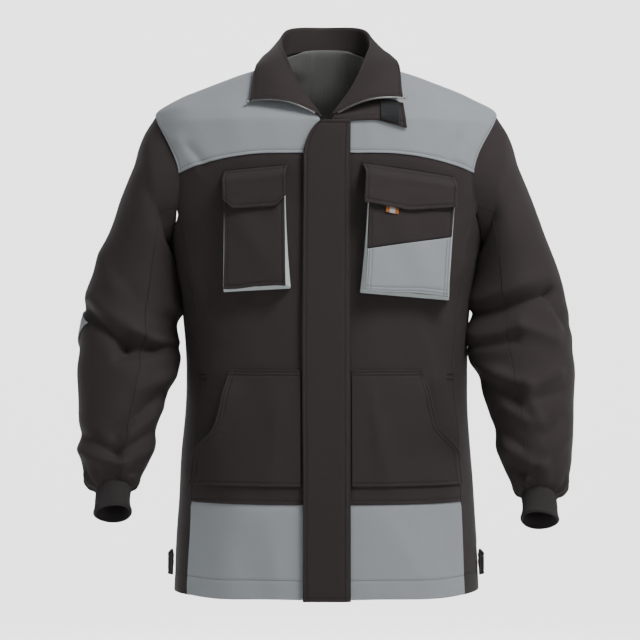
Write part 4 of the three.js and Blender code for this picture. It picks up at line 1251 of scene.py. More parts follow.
class JACKET_OT_body_panels(bpy.types.Operator):
    """Front, side and back panels, hem panels, yokes and lining"""

    bl_idname = "jacket.body_panels"
    bl_label = "Body panels"

    def execute(self, context):
        dark, grey = dark_cloth(), grey_cloth()
        for side, s in SIDES.items():

            def front_panel(u, v):
                z = mix(HEM_PANEL + CLEARANCE, yoke_seam(u) + 4, v)
                turn = mix(inner_turn(z), front_seam_turn(z) - SEAM_ANGLE, u)
                return s * turn, z, -1.7 * smooth((z - yoke_seam(u) + 4) / 5)

            body_sheet(
                f"front_panel_{side}_cloth",
                front_panel,
                (200, 470),
                dark,
                "dark_drill",
                [f"front_panel_{side}"],
                edges=("flat", "turned", "lap", "free"),
                thread="dark",
            )

            def hem_panel(u, v):
                z = mix(0, HEM_PANEL + 4, v)
                turn = mix(inner_turn(z), front_seam_turn(z) - SEAM_ANGLE, u)
                sunk = -1.7 * smooth((z - HEM_PANEL + 4) / 5)
                return s * turn, z + 0.9 * np.sin(7 * turn) * (1 - v), sunk

            body_sheet(
                f"front_hem_panel_{side}_cloth",
                hem_panel,
                (195, 132),
                grey,
                "grey_drill",
                [f"front_hem_panel_{side}"],
                edges=("flat", "seam", "hem", "free"),
                thread="grey",
            )

            def side_panel(u, v):
                dip = underarm_height(u) - SEAM_TOP - 2 * CLEARANCE
                z = v * SEAM_TOP + dip * v**3
                turn = mix(front_seam_turn(z) - 0.02, back_seam_turn(z) + 0.02, u)
                return s * turn, z, -1.7

            body_sheet(
                f"side_panel_{side}_cloth",
                side_panel,
                (150, 500),
                dark,
                "dark_drill",
                [f"side_panel_{side}"],
                edges=("free", "free", "hem", "seam"),
                thread="dark",
            )

            def front_yoke(u, v):
                z = mix(yoke_seam(u), BODY_LENGTH - 3, v)
                shoulder = np.where(z < SHOULDER_TIP, front_seam_turn(z), PI / 2)
                outer = np.maximum(inner_turn(z) + 0.02, shoulder - 2 * SEAM_ANGLE)
                return s * mix(inner_turn(z) + 2 * SEAM_ANGLE, outer, u), z, 0.0

            body_sheet(
                f"front_yoke_{side}_cloth",
                front_yoke,
                (185, 150),
                grey,
                "grey_drill",
                [f"front_yoke_{side}"],
                edges=("free", "lap", "lap", "seam"),
                thread="grey",
                step=3.5,
            )

        def back_panel(u, v):
            z = mix(0, BODY_LENGTH - 138, v)
            edge = PI - back_seam_turn(z) - SEAM_ANGLE
            return PI + mix(-edge, edge, u), z, -1.7 * smooth((z - 596) / 5)

        body_sheet(
            "back_panel_cloth",
            back_panel,
            (390, 600),
            dark,
            "dark_drill",
            ["back_panel"],
            edges=("turned", "turned", "hem", "free"),
            thread="dark",
        )

        def back_yoke(u, v):
            top = neck_top(PI - np.abs(2 * u - 1) * (PI / 2))
            z = mix(BODY_LENGTH - 142 + CLEARANCE, top, v)
            shoulder = np.where(z < SHOULDER_TIP, back_seam_turn(z), PI / 2)
            edge = PI - shoulder - 2 * SEAM_ANGLE
            return PI + mix(-edge, edge, u), z, 0.0

        body_sheet(
            "back_yoke_cloth",
            back_yoke,
            (430, 160),
            grey,
            "grey_drill",
            ["back_yoke"],
            edges=("lap", "lap", "lap", "seam"),
            thread="grey",
        )

        def lining(u, v):
            turn = PI + mix(-1.0, 1.0, u)
            top = neck_top(PI - np.abs(turn - PI)) + 4
            return turn, mix(BODY_LENGTH - 132, top, v), 0.0

        body_sheet(
            "back_lining_cloth",
            lining,
            (230, 150),
            cloth_material(
                "lining_cloth",
                tuple(context.scene.jacket_colours.lining),
                rib=4200.0,
                slub=1.0,
                contrast=0.18,
            ),
            "lining",
            ["back_lining"],
            lift=-5.2,
            thickness=1.4,
        )
        return {"FINISHED"}


class JACKET_OT_sleeves(bpy.types.Operator):
    """Upper and under sleeves and elbow patches"""

    bl_idname = "jacket.sleeves"
    bl_label = "Sleeves"

    def execute(self, context):
        dark, grey = dark_cloth(), grey_cloth()
        for side in SIDES:
            hold = sleeve_hold(side)
            seam = under = SLEEVE_SEAM

            def top(u, v):
                return sleeve_point(side, v, mix(-seam, seam, u), -SLEEVE_CLOTH / 2)

            def lower(u, v):
                return sleeve_point(
                    side, v, mix(under, 2 * PI - under, u), -SLEEVE_CLOTH / 2
                )

            cloth_sheet(
                f"sleeve_top_{side}_cloth",
                top,
                (270, 540),
                sleeve_outward(side),
                dark,
                "dark_drill",
                [f"sleeve_top_{side}"],
                hold,
                edges=("free", "free", "free", "seam"),
                thickness=SLEEVE_CLOTH,
                step=3.4,
                taper=0.15,
            )
            cloth_sheet(
                f"sleeve_under_{side}_cloth",
                lower,
                (150, 400),
                sleeve_outward(side),
                dark,
                "dark_drill",
                [f"sleeve_under_{side}"],
                hold,
                edges=("free", "free", "free", "seam"),
                thickness=SLEEVE_CLOTH,
                step=3.4,
                taper=0.15,
            )

            def patch(u, v):
                away = 1 - (1 - np.abs(2 * v - 1)) ** 1.3
                start = mix(FRONT_REACH[side], 1.0, away)
                t = (5 + 3 * v) / 13
                return sleeve_point(side, t, mix(start, SLEEVE_SEAM - 0.1, u), 1.7)

            cloth_sheet(
                f"elbow_patch_{side}_cloth",
                patch,
                (95, 130),
                sleeve_outward(side),
                grey,
                "grey_drill",
                [f"elbow_patch_{side}"],
                hold,
                edges=("turned", "turned", "turned", "turned"),
                thickness=2.0,
                step=3.4,
                thread="grey",
            )
        return {"FINISHED"}


class JACKET_OT_cuffs(bpy.types.Operator):
    """Rib-knit cuffs: a folded knitted tube with ribs along the arm"""

    bl_idname = "jacket.cuffs"
    bl_label = "Rib cuffs"

    def execute(self, context):
        ribs = context.scene.jacket_sizes.cuff_ribs
        colour = tuple(context.scene.jacket_colours.rib)
        knit = simple_material("rib_knit", colour, 0.9, 900.0, 0.0005, 0.35, 0.05)
        along = np.array([0, -np.sin(WRIST_LEAN), -np.cos(WRIST_LEAN)])
        # The section of the tube's wall: down the outside, round the edge, and up the inside.
        down = np.linspace(-7, 37.5, 24)
        section = np.concatenate(
            [
                np.stack([down, np.zeros(24)], -1),
                [[38.4, 0.5], [38.8, 1.4], [38.4, 2.3]],
                np.stack([down[::-1], np.full(24, 2.7)], -1),
            ]
        )
        turns = np.linspace(0, 2 * PI, ribs * 8, endpoint=False)
        for side in SIDES:
            s, around = np.meshgrid(section[:, 0], turns, indexing="ij")
            depth, _ = np.meshgrid(section[:, 1], turns, indexing="ij")
            rib = 0.55 * np.abs(np.cos(around * ribs / 2)) ** 0.7
            snug = -3.0 + 1.6 * smooth((s - 22) / 16) + 0.7 * np.sin(3 * around + s / 9)
            bottom = 1.0 * np.exp(-(((s - 36) / 3) ** 2))
            offset = snug + bottom + rib * (depth < 1.2) - depth
            ring = sleeve_point(side, np.ones_like(s), around, offset, folded=False)
            points = ring + along * (s + CLEARANCE)[..., None]
            points = points + np.stack([0 * s, 0 * s, 1.2 * np.sin(2 * around) * smooth(s / 38)], -1)
            rows, cols = s.shape
            index = np.arange(rows * cols).reshape(rows, cols)
            right = np.roll(index, -1, axis=1)
            below = np.roll(index, -1, axis=0)
            corner = np.roll(below, -1, axis=1)
            quads = np.stack([q.ravel() for q in (index, below, corner, right)], -1)
            if SIDES[side] < 0:
                quads = quads[:, ::-1]
            obj = make_object(f"rib_cuff_{side}_knit", points.reshape(-1, 3), quads)
            finish(obj, knit, [f"rib_cuff_{side}"], f"sleeve_{side}")
        return {"FINISHED"}


class JACKET_OT_front_zip(bpy.types.Operator):
    """Zip tapes, teeth, loop strip and the metal of the slider, pull, box and stops"""

    bl_idname = "jacket.front_zip"
    bl_label = "Front zip"

    def execute(self, context):
        base = closure_frame()
        metal = metal_material()
        tape = cloth_material(
            "zip_tape_weave", tuple(context.scene.jacket_colours.tape), rib=5200.0, slub=0.3
        )
        top, bottom, middle = 643.8, 14.0, 3.5
        length = top - bottom
        pitch = context.scene.jacket_sizes.tooth_pitch * 1000
        for side, s in SIDES.items():
            cloth_sheet(
                f"zip_tape_{side}_weave",
                lambda u, v: in_frame(base, s * mix(3.8, 17.8, u), middle, mix(bottom, top, v)),
                (14, length),
                frame_outward(base),
                tape,
                "zip_tape",
                [f"zip_tape_{side}"],
                "jacket_body",
                thickness=0.8,
                step=4,
                edges=("free", "turned", "free", "free"),
            )
            count = int(length / pitch)
            z = bottom + (np.arange(count) + (0.25 if s > 0 else 0.75)) * pitch
            place = in_frame(base, np.full(count, s * 2.0), middle, z)
            obj = teeth(f"zip_teeth_{side}_chain", place, s * base[1], base[3], base[2], 1.6, 1.7)
            finish(obj, metal, [f"zip_teeth_{side}"], "jacket_body")
        patch_sheet(
            "front_loop_strip_tape", base, -29, -13, 40, 565.8, -0.85, 1.1, ["front_loop_strip"]
        )
        for node in (
            "zip_slider",
            "zip_pull",
            "zip_bottom_box",
            "zip_top_stop_left",
            "zip_top_stop_right",
        ):
            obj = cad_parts[node]
            obj.data.materials.clear()
            obj.data.materials.append(metal)
        return {"FINISHED"}


def teeth(name, places, across, along, deep, half_length, half_depth):
    """Zip teeth: each is a small block with a waisted, rounded nose, placed at every point."""
    across, along, deep = (np.broadcast_to(a, places.shape) for a in (across, along, deep))
    # Outline across the tape (outwards from the zip's middle) and half height along the zip.
    outline = np.array(
        [[-1.25, 0.45], [-0.7, 0.85], [0.0, 0.62], [1.0, 0.95], [1.25, 0.8]]
    )
    ring = np.concatenate([outline, outline[::-1] * [1, -1]])
    count = len(ring)
    local = []
    for d, scale in ((-half_depth, 0.8), (-0.6 * half_depth, 1.0), (0.6 * half_depth, 1.0), (half_depth, 0.8)):
        local.append(np.column_stack([ring[:, 0], ring[:, 1] * scale, np.full(count, d)]))
    local = np.concatenate(local)
    points = (
        places[:, None]
        + local[None, :, :1] * across[:, None] * half_length / 1.25
        + local[None, :, 1:2] * along[:, None]
        + local[None, :, 2:] * deep[:, None]
    )
    quads = []
    for layer in range(3):
        a = layer * count + np.arange(count)
        b = layer * count + (np.arange(count) + 1) % count
        quads.append(np.stack([a, b, b + count, a + count], -1))
    half = count // 2
    for layer, flip in ((0, True), (3, False)):
        k = layer * count
        caps = [
            [k + i, k + i + 1, k + count - 2 - i, k + count - 1 - i] for i in range(half - 1)
        ]
        caps = np.array(caps)
        quads.append(caps[:, ::-1] if flip else caps)
    quads = np.concatenate(quads)
    signs = np.einsum("ni,ni->n", np.cross(across, along), deep)
    each = np.where(signs[:, None, None] > 0, quads[None], quads[None, :, ::-1])
    faces = (each + (np.arange(len(places)) * len(local))[:, None, None]).reshape(-1, 4)
    return make_object(name, points.reshape(-1, 3), faces, shade_smooth=False)


def patch_sheet(name, base, x0, x1, z0, z1, y, thickness, nodes, hold="jacket_body"):
    """A flat rectangle of hook-and-loop tape in a frame, with rounded edges."""
    return cloth_sheet(
        name,
        lambda u, v: in_frame(base, mix(x0, x1, u), y, mix(z0, z1, v)),
        (abs(x1 - x0), abs(z1 - z0)),
        frame_outward(base),
        hook_tape(),
        "hook_loop",
        nodes,
        hold,
        thickness=thickness,
        step=4,
    )


class JACKET_OT_storm_flap(bpy.types.Operator):
    """Storm flap over the zip with its hook strip, and its top turned out under the collar"""

    bl_idname = "jacket.storm_flap"
    bl_label = "Storm flap"

    def execute(self, context):
        base = closure_frame()
        top = NECK_FRONT * np.hypot(1, FRONT_LEAN) - 3
        corner_height, corner_width = 50.0, 27.0
        dark = dark_cloth()

        def place(u, v):
            z = mix(0, top, v) - 1.5 * (1 - smooth(v / 0.02))
            q = np.clip((z - top + corner_height) / corner_height, 0, 1)
            left = -32 + corner_width * (1 - (1 - q**1.7) ** (1 / 1.7))
            x = mix(left, 33.0, u)
            soft = 0.9 * np.sin(z / 47 + 1.2 * u) * (1 - u) ** 0.7 * smooth((top - z) / 80)
            y = -5.25 - 0.5 * np.sin(PI * u) - 0.45 * soft
            x = x + 0.8 * np.sin(z / 83 + 0.6) * (1 - u)
            root = smooth((u - 0.93) / 0.07)
            return in_frame(base, x, y + root * 3.6, z)

        hold = (
            "jacket_body",
            "storm_flap",
            (0.0345, -0.138, -0.44),
            (0.0285, -0.138, -0.44),
        )
        cloth_sheet(
            "storm_flap_cloth",
            place,
            (65, top),
            frame_outward(base),
            dark,
            "dark_drill",
            ["storm_flap"],
            hold,
            edges=("turned", "turned_double", "turned", "turned"),
            thickness=2.7,
            step=4.5,
            thread="dark",
        )
        patch_sheet(
            "storm_flap_hook_strip_tape",
            base,
            -29,
            -13,
            40,
            565.8,
            -3.05,
            1.1,
            ["storm_flap_hook_strip"],
            "storm_flap",
        )
        lower = through([[10, -91], [33, -91], [63, -90], [87, -95], [110, -101]])
        upper = through([[10, -83], [33, -71], [56, -63], [80, -61], [104, -65], [110, -68]])

        def turned_out(u, v):
            x = mix(10, 110 - 4 * v, u)
            z = BODY_LENGTH + mix(lower(x), upper(x), v)
            return turn_at_x(x, z), z, 1.2 * smooth((u - 0.5) * 2) * (1 - v)

        body_sheet(
            "storm_flap_top_cloth",
            turned_out,
            (105, 22),
            dark,
            "dark_drill",
            ["storm_flap_top"],
            lift=3.0,
            edges=("free", "turned", "turned", "free"),
            thread="dark",
            step=3,
        )

        def patch(u, v):
            x = mix(74, 99, u)
            z = BODY_LENGTH + mix(lower(x) + 3, upper(x) - 3, v)
            return turn_at_x(x, z), z, 1.0 * (1 - v)

        body_sheet(
            "storm_flap_top_hook_patch_tape",
            patch,
            (26, 16),
            hook_tape(),
            "hook_loop",
            ["storm_flap_top_hook_patch"],
            lift=4.9,
            thickness=1.1,
            step=3,
        )
        return {"FINISHED"}


def pocket_puff(x, z, pocket):
    """How far the filled pocket's front bellies out: a sine across times one down its length."""
    across = np.cos(np.clip(2 * x / pocket["width"], -1, 1) * PI / 2)
    down = np.sin(np.clip(-z / pocket["length"], 0, 1) * PI) ** 0.8
    return 3.2 * across * down


class JACKET_OT_chest_pockets(bpy.types.Operator):
    """Bellows chest pockets: gusset, front, flap, hook-and-loop patches and the woven tab"""

    bl_idname = "jacket.chest_pockets"
    bl_label = "Chest pockets"

    def execute(self, context):
        dark, grey = dark_cloth(), grey_cloth()
        gusset_colour = tuple(context.scene.jacket_colours.gusset)
        gusset = cloth_material(
            "gusset_cloth", gusset_colour, rib=4600.0, slub=0.25, contrast=0.06, sheen=0.05
        )
        for side, pocket in POCKETS.items():
            base = pocket_frame(pocket)
            self.make_gusset(side, pocket, base, gusset)
            self.make_front(side, pocket, base, dark, grey)
            self.make_flap(side, pocket, base, dark)
            width = 0.3 * pocket["width"]
            middle = FLAP_RISE - min(pocket["drops"]) + 11
            reach = SIDES[side] * 0.25 * pocket["width"]
            places = [("", 0.0)] if side == "right" else [("_outer", reach), ("_inner", -reach)]
            for end, x in places:
                edge = (x - width / 2, x + width / 2, middle - 6, middle + 6)
                patch_sheet(
                    f"pocket_loop_patch_{side}{end}_tape",
                    base,
                    *edge,
                    -THIN - 0.85,
                    1.1,
                    [f"pocket_loop_patch_{side}{end}"],
                )
                patch_sheet(
                    f"flap_hook_patch_{side}{end}_tape",
                    base,
                    *edge,
                    -POCKET_LAYER + 0.85,
                    1.1,
                    [f"flap_hook_patch_{side}{end}"],
                    f"pocket_flap_{side}",
                )
        self.make_tab(context, POCKETS["left"])
        return {"FINISHED"}

    def make_gusset(self, side, pocket, base, material):
        """The bellows: from the front's edge to the body, round three sides, folded in a soft zigzag."""
        start, foot = -16.0, -pocket["length"]
        tl, tr, bl, br = pocket["front"]
        left, low, right = pocket["flares"]
        legs = np.array([[tl, start], [bl, foot], [br, foot], [tr, start]])
        flare = np.array([[-left, 0], [-left, -low], [right, -low], [right, 0]])
        lengths = np.array([foot - start, br - bl, foot - start])
        total = np.abs(lengths).sum()
        ends = np.concatenate([[0], np.abs(lengths).cumsum()]) / total

        def place(u, v):
            x, z = (np.interp(u, ends, legs[:, k]) for k in (0, 1))
            dx, dz = (np.interp(u, ends, flare[:, k]) for k in (0, 1))
            down = np.clip(-z / pocket["length"], 0, 1)
            zigzag = 0.9 * np.sin(3 * PI * v) * down * np.sin(PI * v) ** 0.5
            spread = down**2 * v
            px = x + dx * spread + np.sign(dx) * (zigzag - 0.6)
            pz = z + dz * spread + np.sign(dz) * (zigzag - 0.6)
            near = in_frame(base, px, 0.2 + 0 * px, pz)
            far = body_behind(base, px, pz, 0.9)
            return near + (far - near) * v[..., None]

        cloth_sheet(
            f"chest_pocket_gusset_{side}_cloth",
            place,
            (total, 18),
            lambda middle: unit(
                middle - in_frame(base, 0.0, 0.0, foot / 3)
            ),
            material,
            "gusset_cloth",
            [f"chest_pocket_gusset_{side}"],
            "jacket_body",
            thickness=1.2,
            step=2.5,
        )

    def make_front(self, side, pocket, base, dark, grey):
        """The pocket's front: a rectangle that bellies out, in one cloth or two joined on a slant."""
        foot = -pocket["length"]
        tl, tr, bl, br = pocket["front"]

        def part(upper, lower):
            def place(u, v):
                high = mix(upper[0], upper[1], u)
                low = mix(lower[0], lower[1], u)
                z = mix(low, high, v)
                x = mix(mix(tl, bl, z / foot), mix(tr, br, z / foot), u)
                pull = 1.2 * np.sin(PI * np.clip(-z / pocket["length"], 0, 1))
                sag = -1.4 * np.sin(2 * PI * u + 0.5) * smooth((-z / pocket["length"] - 0.8) * 5)
                y = -THIN / 2 - pocket_puff(x, z, pocket) * (1 + 0.3 * np.sin(x / 11 + z / 17))
                w = 2 * u - 1
                return in_frame(base, x - pull * np.sign(w) * np.abs(w) ** 4, y, z + sag)

            return place

        if side == "right":
            pieces = [("front", (0, 0), (foot, foot), dark, "dark_drill", "dark")]
        else:
            pieces = [
                ("front", (0, 0), (-87.6, -61.6), dark, "dark_drill", "dark"),
                ("panel", (-88, -62), (foot, foot), grey, "grey_drill", "grey"),
            ]
        for label, upper, lower, material, slot, thread in pieces:
            low_edge = "seam" if label == "front" and side == "left" else "turned_double"
            if side == "right":
                low_edge = "turned"
            side_edge = "turned_double" if label == "panel" else "turned"
            cloth_sheet(
                f"chest_pocket_{label}_{side}_cloth",
                part(upper, lower),
                (pocket["width"], abs(np.mean(lower) - np.mean(upper))),
                frame_outward(base),
                material,
                slot,
                [f"chest_pocket_{label}_{side}"],
                "jacket_body",
                edges=(side_edge, side_edge, low_edge, "seam"),
                thickness=THIN,
                step=3.0,
                thread=thread,
            )

    def make_flap(self, side, pocket, base, material):
        """The flap: sewn to the body along its top, it curves out over the pocket and hangs down."""
        left, right = pocket["flap"]
        drop, point, chamfer = pocket["drops"][0], pocket["point"], pocket["chamfer"]

        def place(u, v):
            x = mix(left, right, u)
            w = np.abs(2 * u - 1)
            rise = mix(*pocket["rises"], u)
            lower = -mix(*pocket["drops"], u) - point * (1 - w)
            inside = (1 - w) * (right - left) / 2
            lower = lower + chamfer * (1 - np.clip(inside / max(chamfer, 1), 0, 1))
            s = (1 - v) * (rise - lower)
            root = body_behind(base, x, FLAP_RISE + rise, 1.1)
            depth = np.sum((root - base[0]) * base[2], -1)
            ease = smooth(s / 20)
            z = FLAP_RISE + rise - s
            out = -POCKET_LAYER - THIN / 2 - pocket_puff(x, z, pocket) * 0.9
            curl = 1.4 * smooth((s / drop - 0.7) / 0.3) * np.sin(2.2 * PI * u + 0.6)
            y = mix(depth, out, ease) - curl
            return in_frame(base, x, y, z)

        start = metres(in_frame(base, 0.0, 11.0, FLAP_RISE))
        end = metres(in_frame(base, 0.0, -5.0, FLAP_RISE - 12))
        cloth_sheet(
            f"chest_pocket_flap_{side}_cloth",
            place,
            (right - left, drop),
            frame_outward(base),
            material,
            "dark_drill",
            [f"chest_pocket_flap_{side}"],
            ("jacket_body", f"pocket_flap_{side}", start, end),
            edges=("turned", "turned", "turned", "turned_double"),
            thickness=THIN,
            step=2.5,
            thread="dark",
        )

    def make_tab(self, context, pocket):
        """A folded ribbon tab in three bands: a grid sheet whose colour follows its length."""
        base = pocket_frame(pocket)
        material, tree, shader = blank_material("woven_tab", 0.7, 0.2)
        uv = tree.nodes.new("ShaderNodeUVMap")
        uv.uv_map = "cloth"
        split = tree.nodes.new("ShaderNodeSeparateXYZ")
        tree.links.new(uv.outputs[0], split.inputs[0])
        away = math_node(tree, "ABSOLUTE", split.outputs[0])
        band = remap(tree, away, 0.0032, 0.0044, 1.0, 0.0)
        colours = context.scene.jacket_colours
        base_colour = colour_mix(
            tree, band, tuple(colours.tab_edge), tuple(colours.tab_middle)
        )
        ribs = math_node(
            tree, "SINE", math_node(tree, "MULTIPLY", split.outputs[1], 9000.0)
        )
        dim = remap(tree, ribs, -1.0, 1.0, 0.0, 1.0)
        darker = tree.nodes.new("ShaderNodeMix")
        darker.data_type = "RGBA"
        darker.blend_type = "MULTIPLY"
        darker.inputs["Factor"].default_value = 0.35
        tree.links.new(base_colour, darker.inputs[6])
        ramp = colour_mix(tree, dim, (0.6, 0.6, 0.6), (1.0, 1.0, 1.0))
        tree.links.new(ramp, darker.inputs[7])
        tree.links.new(darker.outputs[2], shader.inputs["Base Color"])
        node = tree.nodes.new("ShaderNodeBump")
        node.inputs["Distance"].default_value = 0.0003
        tree.links.new(ribs, node.inputs["Height"])
        tree.links.new(node.outputs[0], shader.inputs["Normal"])
        x0 = -0.26 * pocket["width"]
        z0 = FLAP_RISE - pocket["drops"][0] - 7

        def place(u, v):
            x = x0 + mix(-9, 9, u)
            z = z0 + mix(-4.5, 5.5, v) - 2.0 * (u - 0.5)
            return in_frame(base, x, -THIN - 3.6 + 1.2 * v - 0.6 * np.sin(PI * v), z)

        cloth_sheet(
            "woven_tab_ribbon",
            place,
            (18, 10),
            frame_outward(base),
            material,
            "woven_label",
            ["woven_tab"],
            "jacket_body",
            thickness=0.9,
            step=1.5,
        )


class JACKET_OT_hand_pockets(bpy.types.Operator):
    """Hand pockets: a patch on each front with a curved, slack mouth"""

    bl_idname = "jacket.hand_pockets"
    bl_label = "Hand pockets"

    def execute(self, context):
        dark = dark_cloth()
        for side, s in SIDES.items():
            outer_x = through(
                [
                    [153, front_seam_x(153) - 6],
                    [190, front_seam_x(190) - 8],
                    [233.56, 147],
                    [311, 131],
                ]
            )

            def where(u, v):
                z = mix(153, 311, v)
                x = mix(34.2, outer_x(z), u)
                mouth = smooth((z - 178) / 40) * smooth((311 - z) / 40)
                return s * turn_at_x(x, z), z, 11 * mouth * u**4

            body_sheet(
                f"hand_pocket_{side}_cloth",
                where,
                (125, 158),
                dark,
                "dark_drill",
                [f"hand_pocket_{side}"],
                lift=2.9,
                thickness=1.7,
                edges=("free", "turned_double", "turned", "turned_double"),
                thread="dark",
                step=4,
            )
            self.bar_tacks(s)
        return {"FINISHED"}

    def bar_tacks(self, s):
        """Two dense bars of stitching across the side seam above the pocket's mouth."""
        for z in (304.0, 297.0):
            x = np.linspace(164, 178, 40)
            turn = s * turn_at_x(x, np.full(40, z))
            line = body_point(turn, np.full(40, z), 0.35)
            add_thread(line, body_normal(turn, np.full(40, z)), "jacket_body", "bar")


class JACKET_OT_hem_tabs(bpy.types.Operator):
    """Hem adjusting tabs with their hook patches"""

    bl_idname = "jacket.hem_tabs"
    bl_label = "Hem tabs"

    def execute(self, context):
        dark = dark_cloth()
        height, front, length, half = 36.0, -32.0, 78.0, 15.0
        face = float(half_width(np.array(height))) + 7.5
        for side, s in SIDES.items():

            def place(u, v):
                along = u * length
                tip = np.clip((along - length + half) / half, 0, 0.9995)
                reach = half * np.sqrt(1 - tip**2)
                z = height + mix(-1, 1, v) * reach
                y = front + along
                turn = turn_at_y(-y, z)
                skin = np.abs(body_surface(turn, z)[..., 0]) + 1.9
                x = mix(skin, face - 1.25 + 0.8 * np.sin(along / 17), smooth(along / 12))
                return np.stack([s * x, y, z], -1)

            start = (s * 0.2226, -0.034, -0.706)
            end = (s * 0.2226, -0.020, -0.706)
            cloth_sheet(
                f"hem_tab_{side}_cloth",
                place,
                (length, 2 * half),
                lambda middle: np.broadcast_to([float(s), 0.0, 0.0], middle.shape),
                dark,
                "dark_drill",
                [f"hem_tab_{side}"],
                ("jacket_body", f"hem_tab_{side}", start, end),
                edges=("turned", "free", "turned", "turned"),
                thickness=2.5,
                step=2.5,
                thread="dark",
            )

            def patch(u, v):
                y = front + length - 49 + 34 * u
                z = height - 10 + 20 * v
                return np.stack([np.full(y.shape, s * (face - 3.35)), y, z], -1)

            cloth_sheet(
                f"hem_tab_hook_patch_{side}_tape",
                patch,
                (34, 20),
                lambda middle: np.broadcast_to([float(s), 0.0, 0.0], middle.shape),
                hook_tape(),
                "hook_loop",
                [f"hem_tab_hook_patch_{side}"],
                f"hem_tab_{side}",
                thickness=1.1,
                step=3,
            )
        return {"FINISHED"}


# ---- Collar ---------------------------------------------------------------------------------
ROLL = np.array(
    [
        [0, 80, 61],
        [49, 60, 57],
        [62, 8, 33],
        [54, -54, 1],
        [36, -94, -43],
        [9, -115, -83],
    ],
    float,
)
collar_roll = spline(
    np.concatenate([(ROLL * [-1, 1, 1])[:0:-1], ROLL]) + [0, 0, BODY_LENGTH]
)
collar_front_x = through([[0, 92], [0.5, 99], [1, 104]])
collar_front_height = through(
    [[0, BODY_LENGTH - 6], [0.5, BODY_LENGTH - 27], [1, BODY_LENGTH - 66]]
)
SHOULDER = 0.4


def neck_point(t):
    """The neck seam from the back middle (0) by the shoulder line to the front (1)."""
    turn = PI * (1 - np.clip(t, 0, SHOULDER) / (2 * SHOULDER))
    behind = body_point(turn, neck_top(turn), 0.0, folded=False)
    z = mix(BODY_LENGTH - 1, NECK_FRONT, np.clip((t - SHOULDER) / (1 - SHOULDER), 0, 1))
    ahead = body_surface(turn_at_x(neck_x(z), z), z)
    return np.where((t < SHOULDER)[..., None], behind, ahead)


def collar_edge(t, lift):
    """The turned collar's outer edge, which lies that much off the body."""
    share = np.clip(t / SHOULDER, 0, 1)
    behind = body_point(
        PI * (1 - share / 2), BODY_LENGTH + mix(-4, -6, share), lift, folded=False
    )
    share = np.clip((t - SHOULDER) / (1 - SHOULDER), 0, 1)
    z = collar_front_height(share)
    ahead = body_point(turn_at_x(collar_front_x(share), z), z, lift, folded=False)
    return np.where((t < SHOULDER)[..., None], behind, ahead)


def turned_point(t, v, lift):
    """The turned half: straight from just outside the roll to the edge, bellied by a sine of v."""
    roll = collar_roll((1 + t) / 2)
    outward = unit(roll * [1, 1, 0])
    from_roll = roll + outward * 3.4
    point = from_roll + (collar_edge(t, lift) - from_roll) * v[..., None]
    arch = np.sin(PI * v)
    point = point + outward * (5 * arch * smooth(t / SHOULDER))[..., None]
    point[..., 2] += 9 * arch * smooth((t - 0.5) * 2)
    return point


def collar_lift(t, side):
    """Body to the collar's edge: halfway at the back, then the side's own."""
    own = 7.0 if side < 0 else 13.0
    return mix(10.0, own, smooth((t - 0.1) / 0.35))


def collar_point(u, v):
    """The whole collar in one sheet. v runs from the neck seam up the stand (to 0.36), round the roll
    (to 0.5) and down the turned half to the edge (1)."""
    side = np.where(u < 0.5, -1.0, 1.0)
    t = np.abs(2 * u - 1)
    seam = neck_point(t)
    seam[..., 2] += 2.3
    roll = collar_roll((1 + t) / 2)
    outward = unit(roll * [1, 1, 0])
    stand = seam + (roll - seam) * (0.02 + 0.9 * np.clip(v / 0.36, 0, 1))[..., None]
    lift = np.where(side < 0, collar_lift(t, -1), collar_lift(t, 1))
    fall = np.clip((v - 0.5) / 0.5, 0, 1)
    turned = turned_point(t, fall, lift)
    angle = PI * np.clip((v - 0.36) / 0.14, 0, 1)
    inner_end = seam + (roll - seam) * 0.92
    outer_end = roll + outward * 3.4
    centre = (inner_end + outer_end) / 2
    arm = (inner_end - outer_end) / 2
    rise = np.linalg.norm(arm, axis=-1) * 0.9 + 0.5
    bend = (
        centre
        + arm * np.cos(angle)[..., None]
        + np.array([0, 0, 1.0]) * (rise * np.sin(angle))[..., None]
    )
    point = np.where(
        (v < 0.36)[..., None], stand, np.where((v < 0.5)[..., None], bend, turned)
    )
    point = point + outward * (
        0.8 * np.sin(9 * t + 2 * side) * smooth((v - 0.55) / 0.3)
    )[..., None] * smooth((t - 0.2) / 0.3)[..., None]
    point[..., 0] *= side
    return point


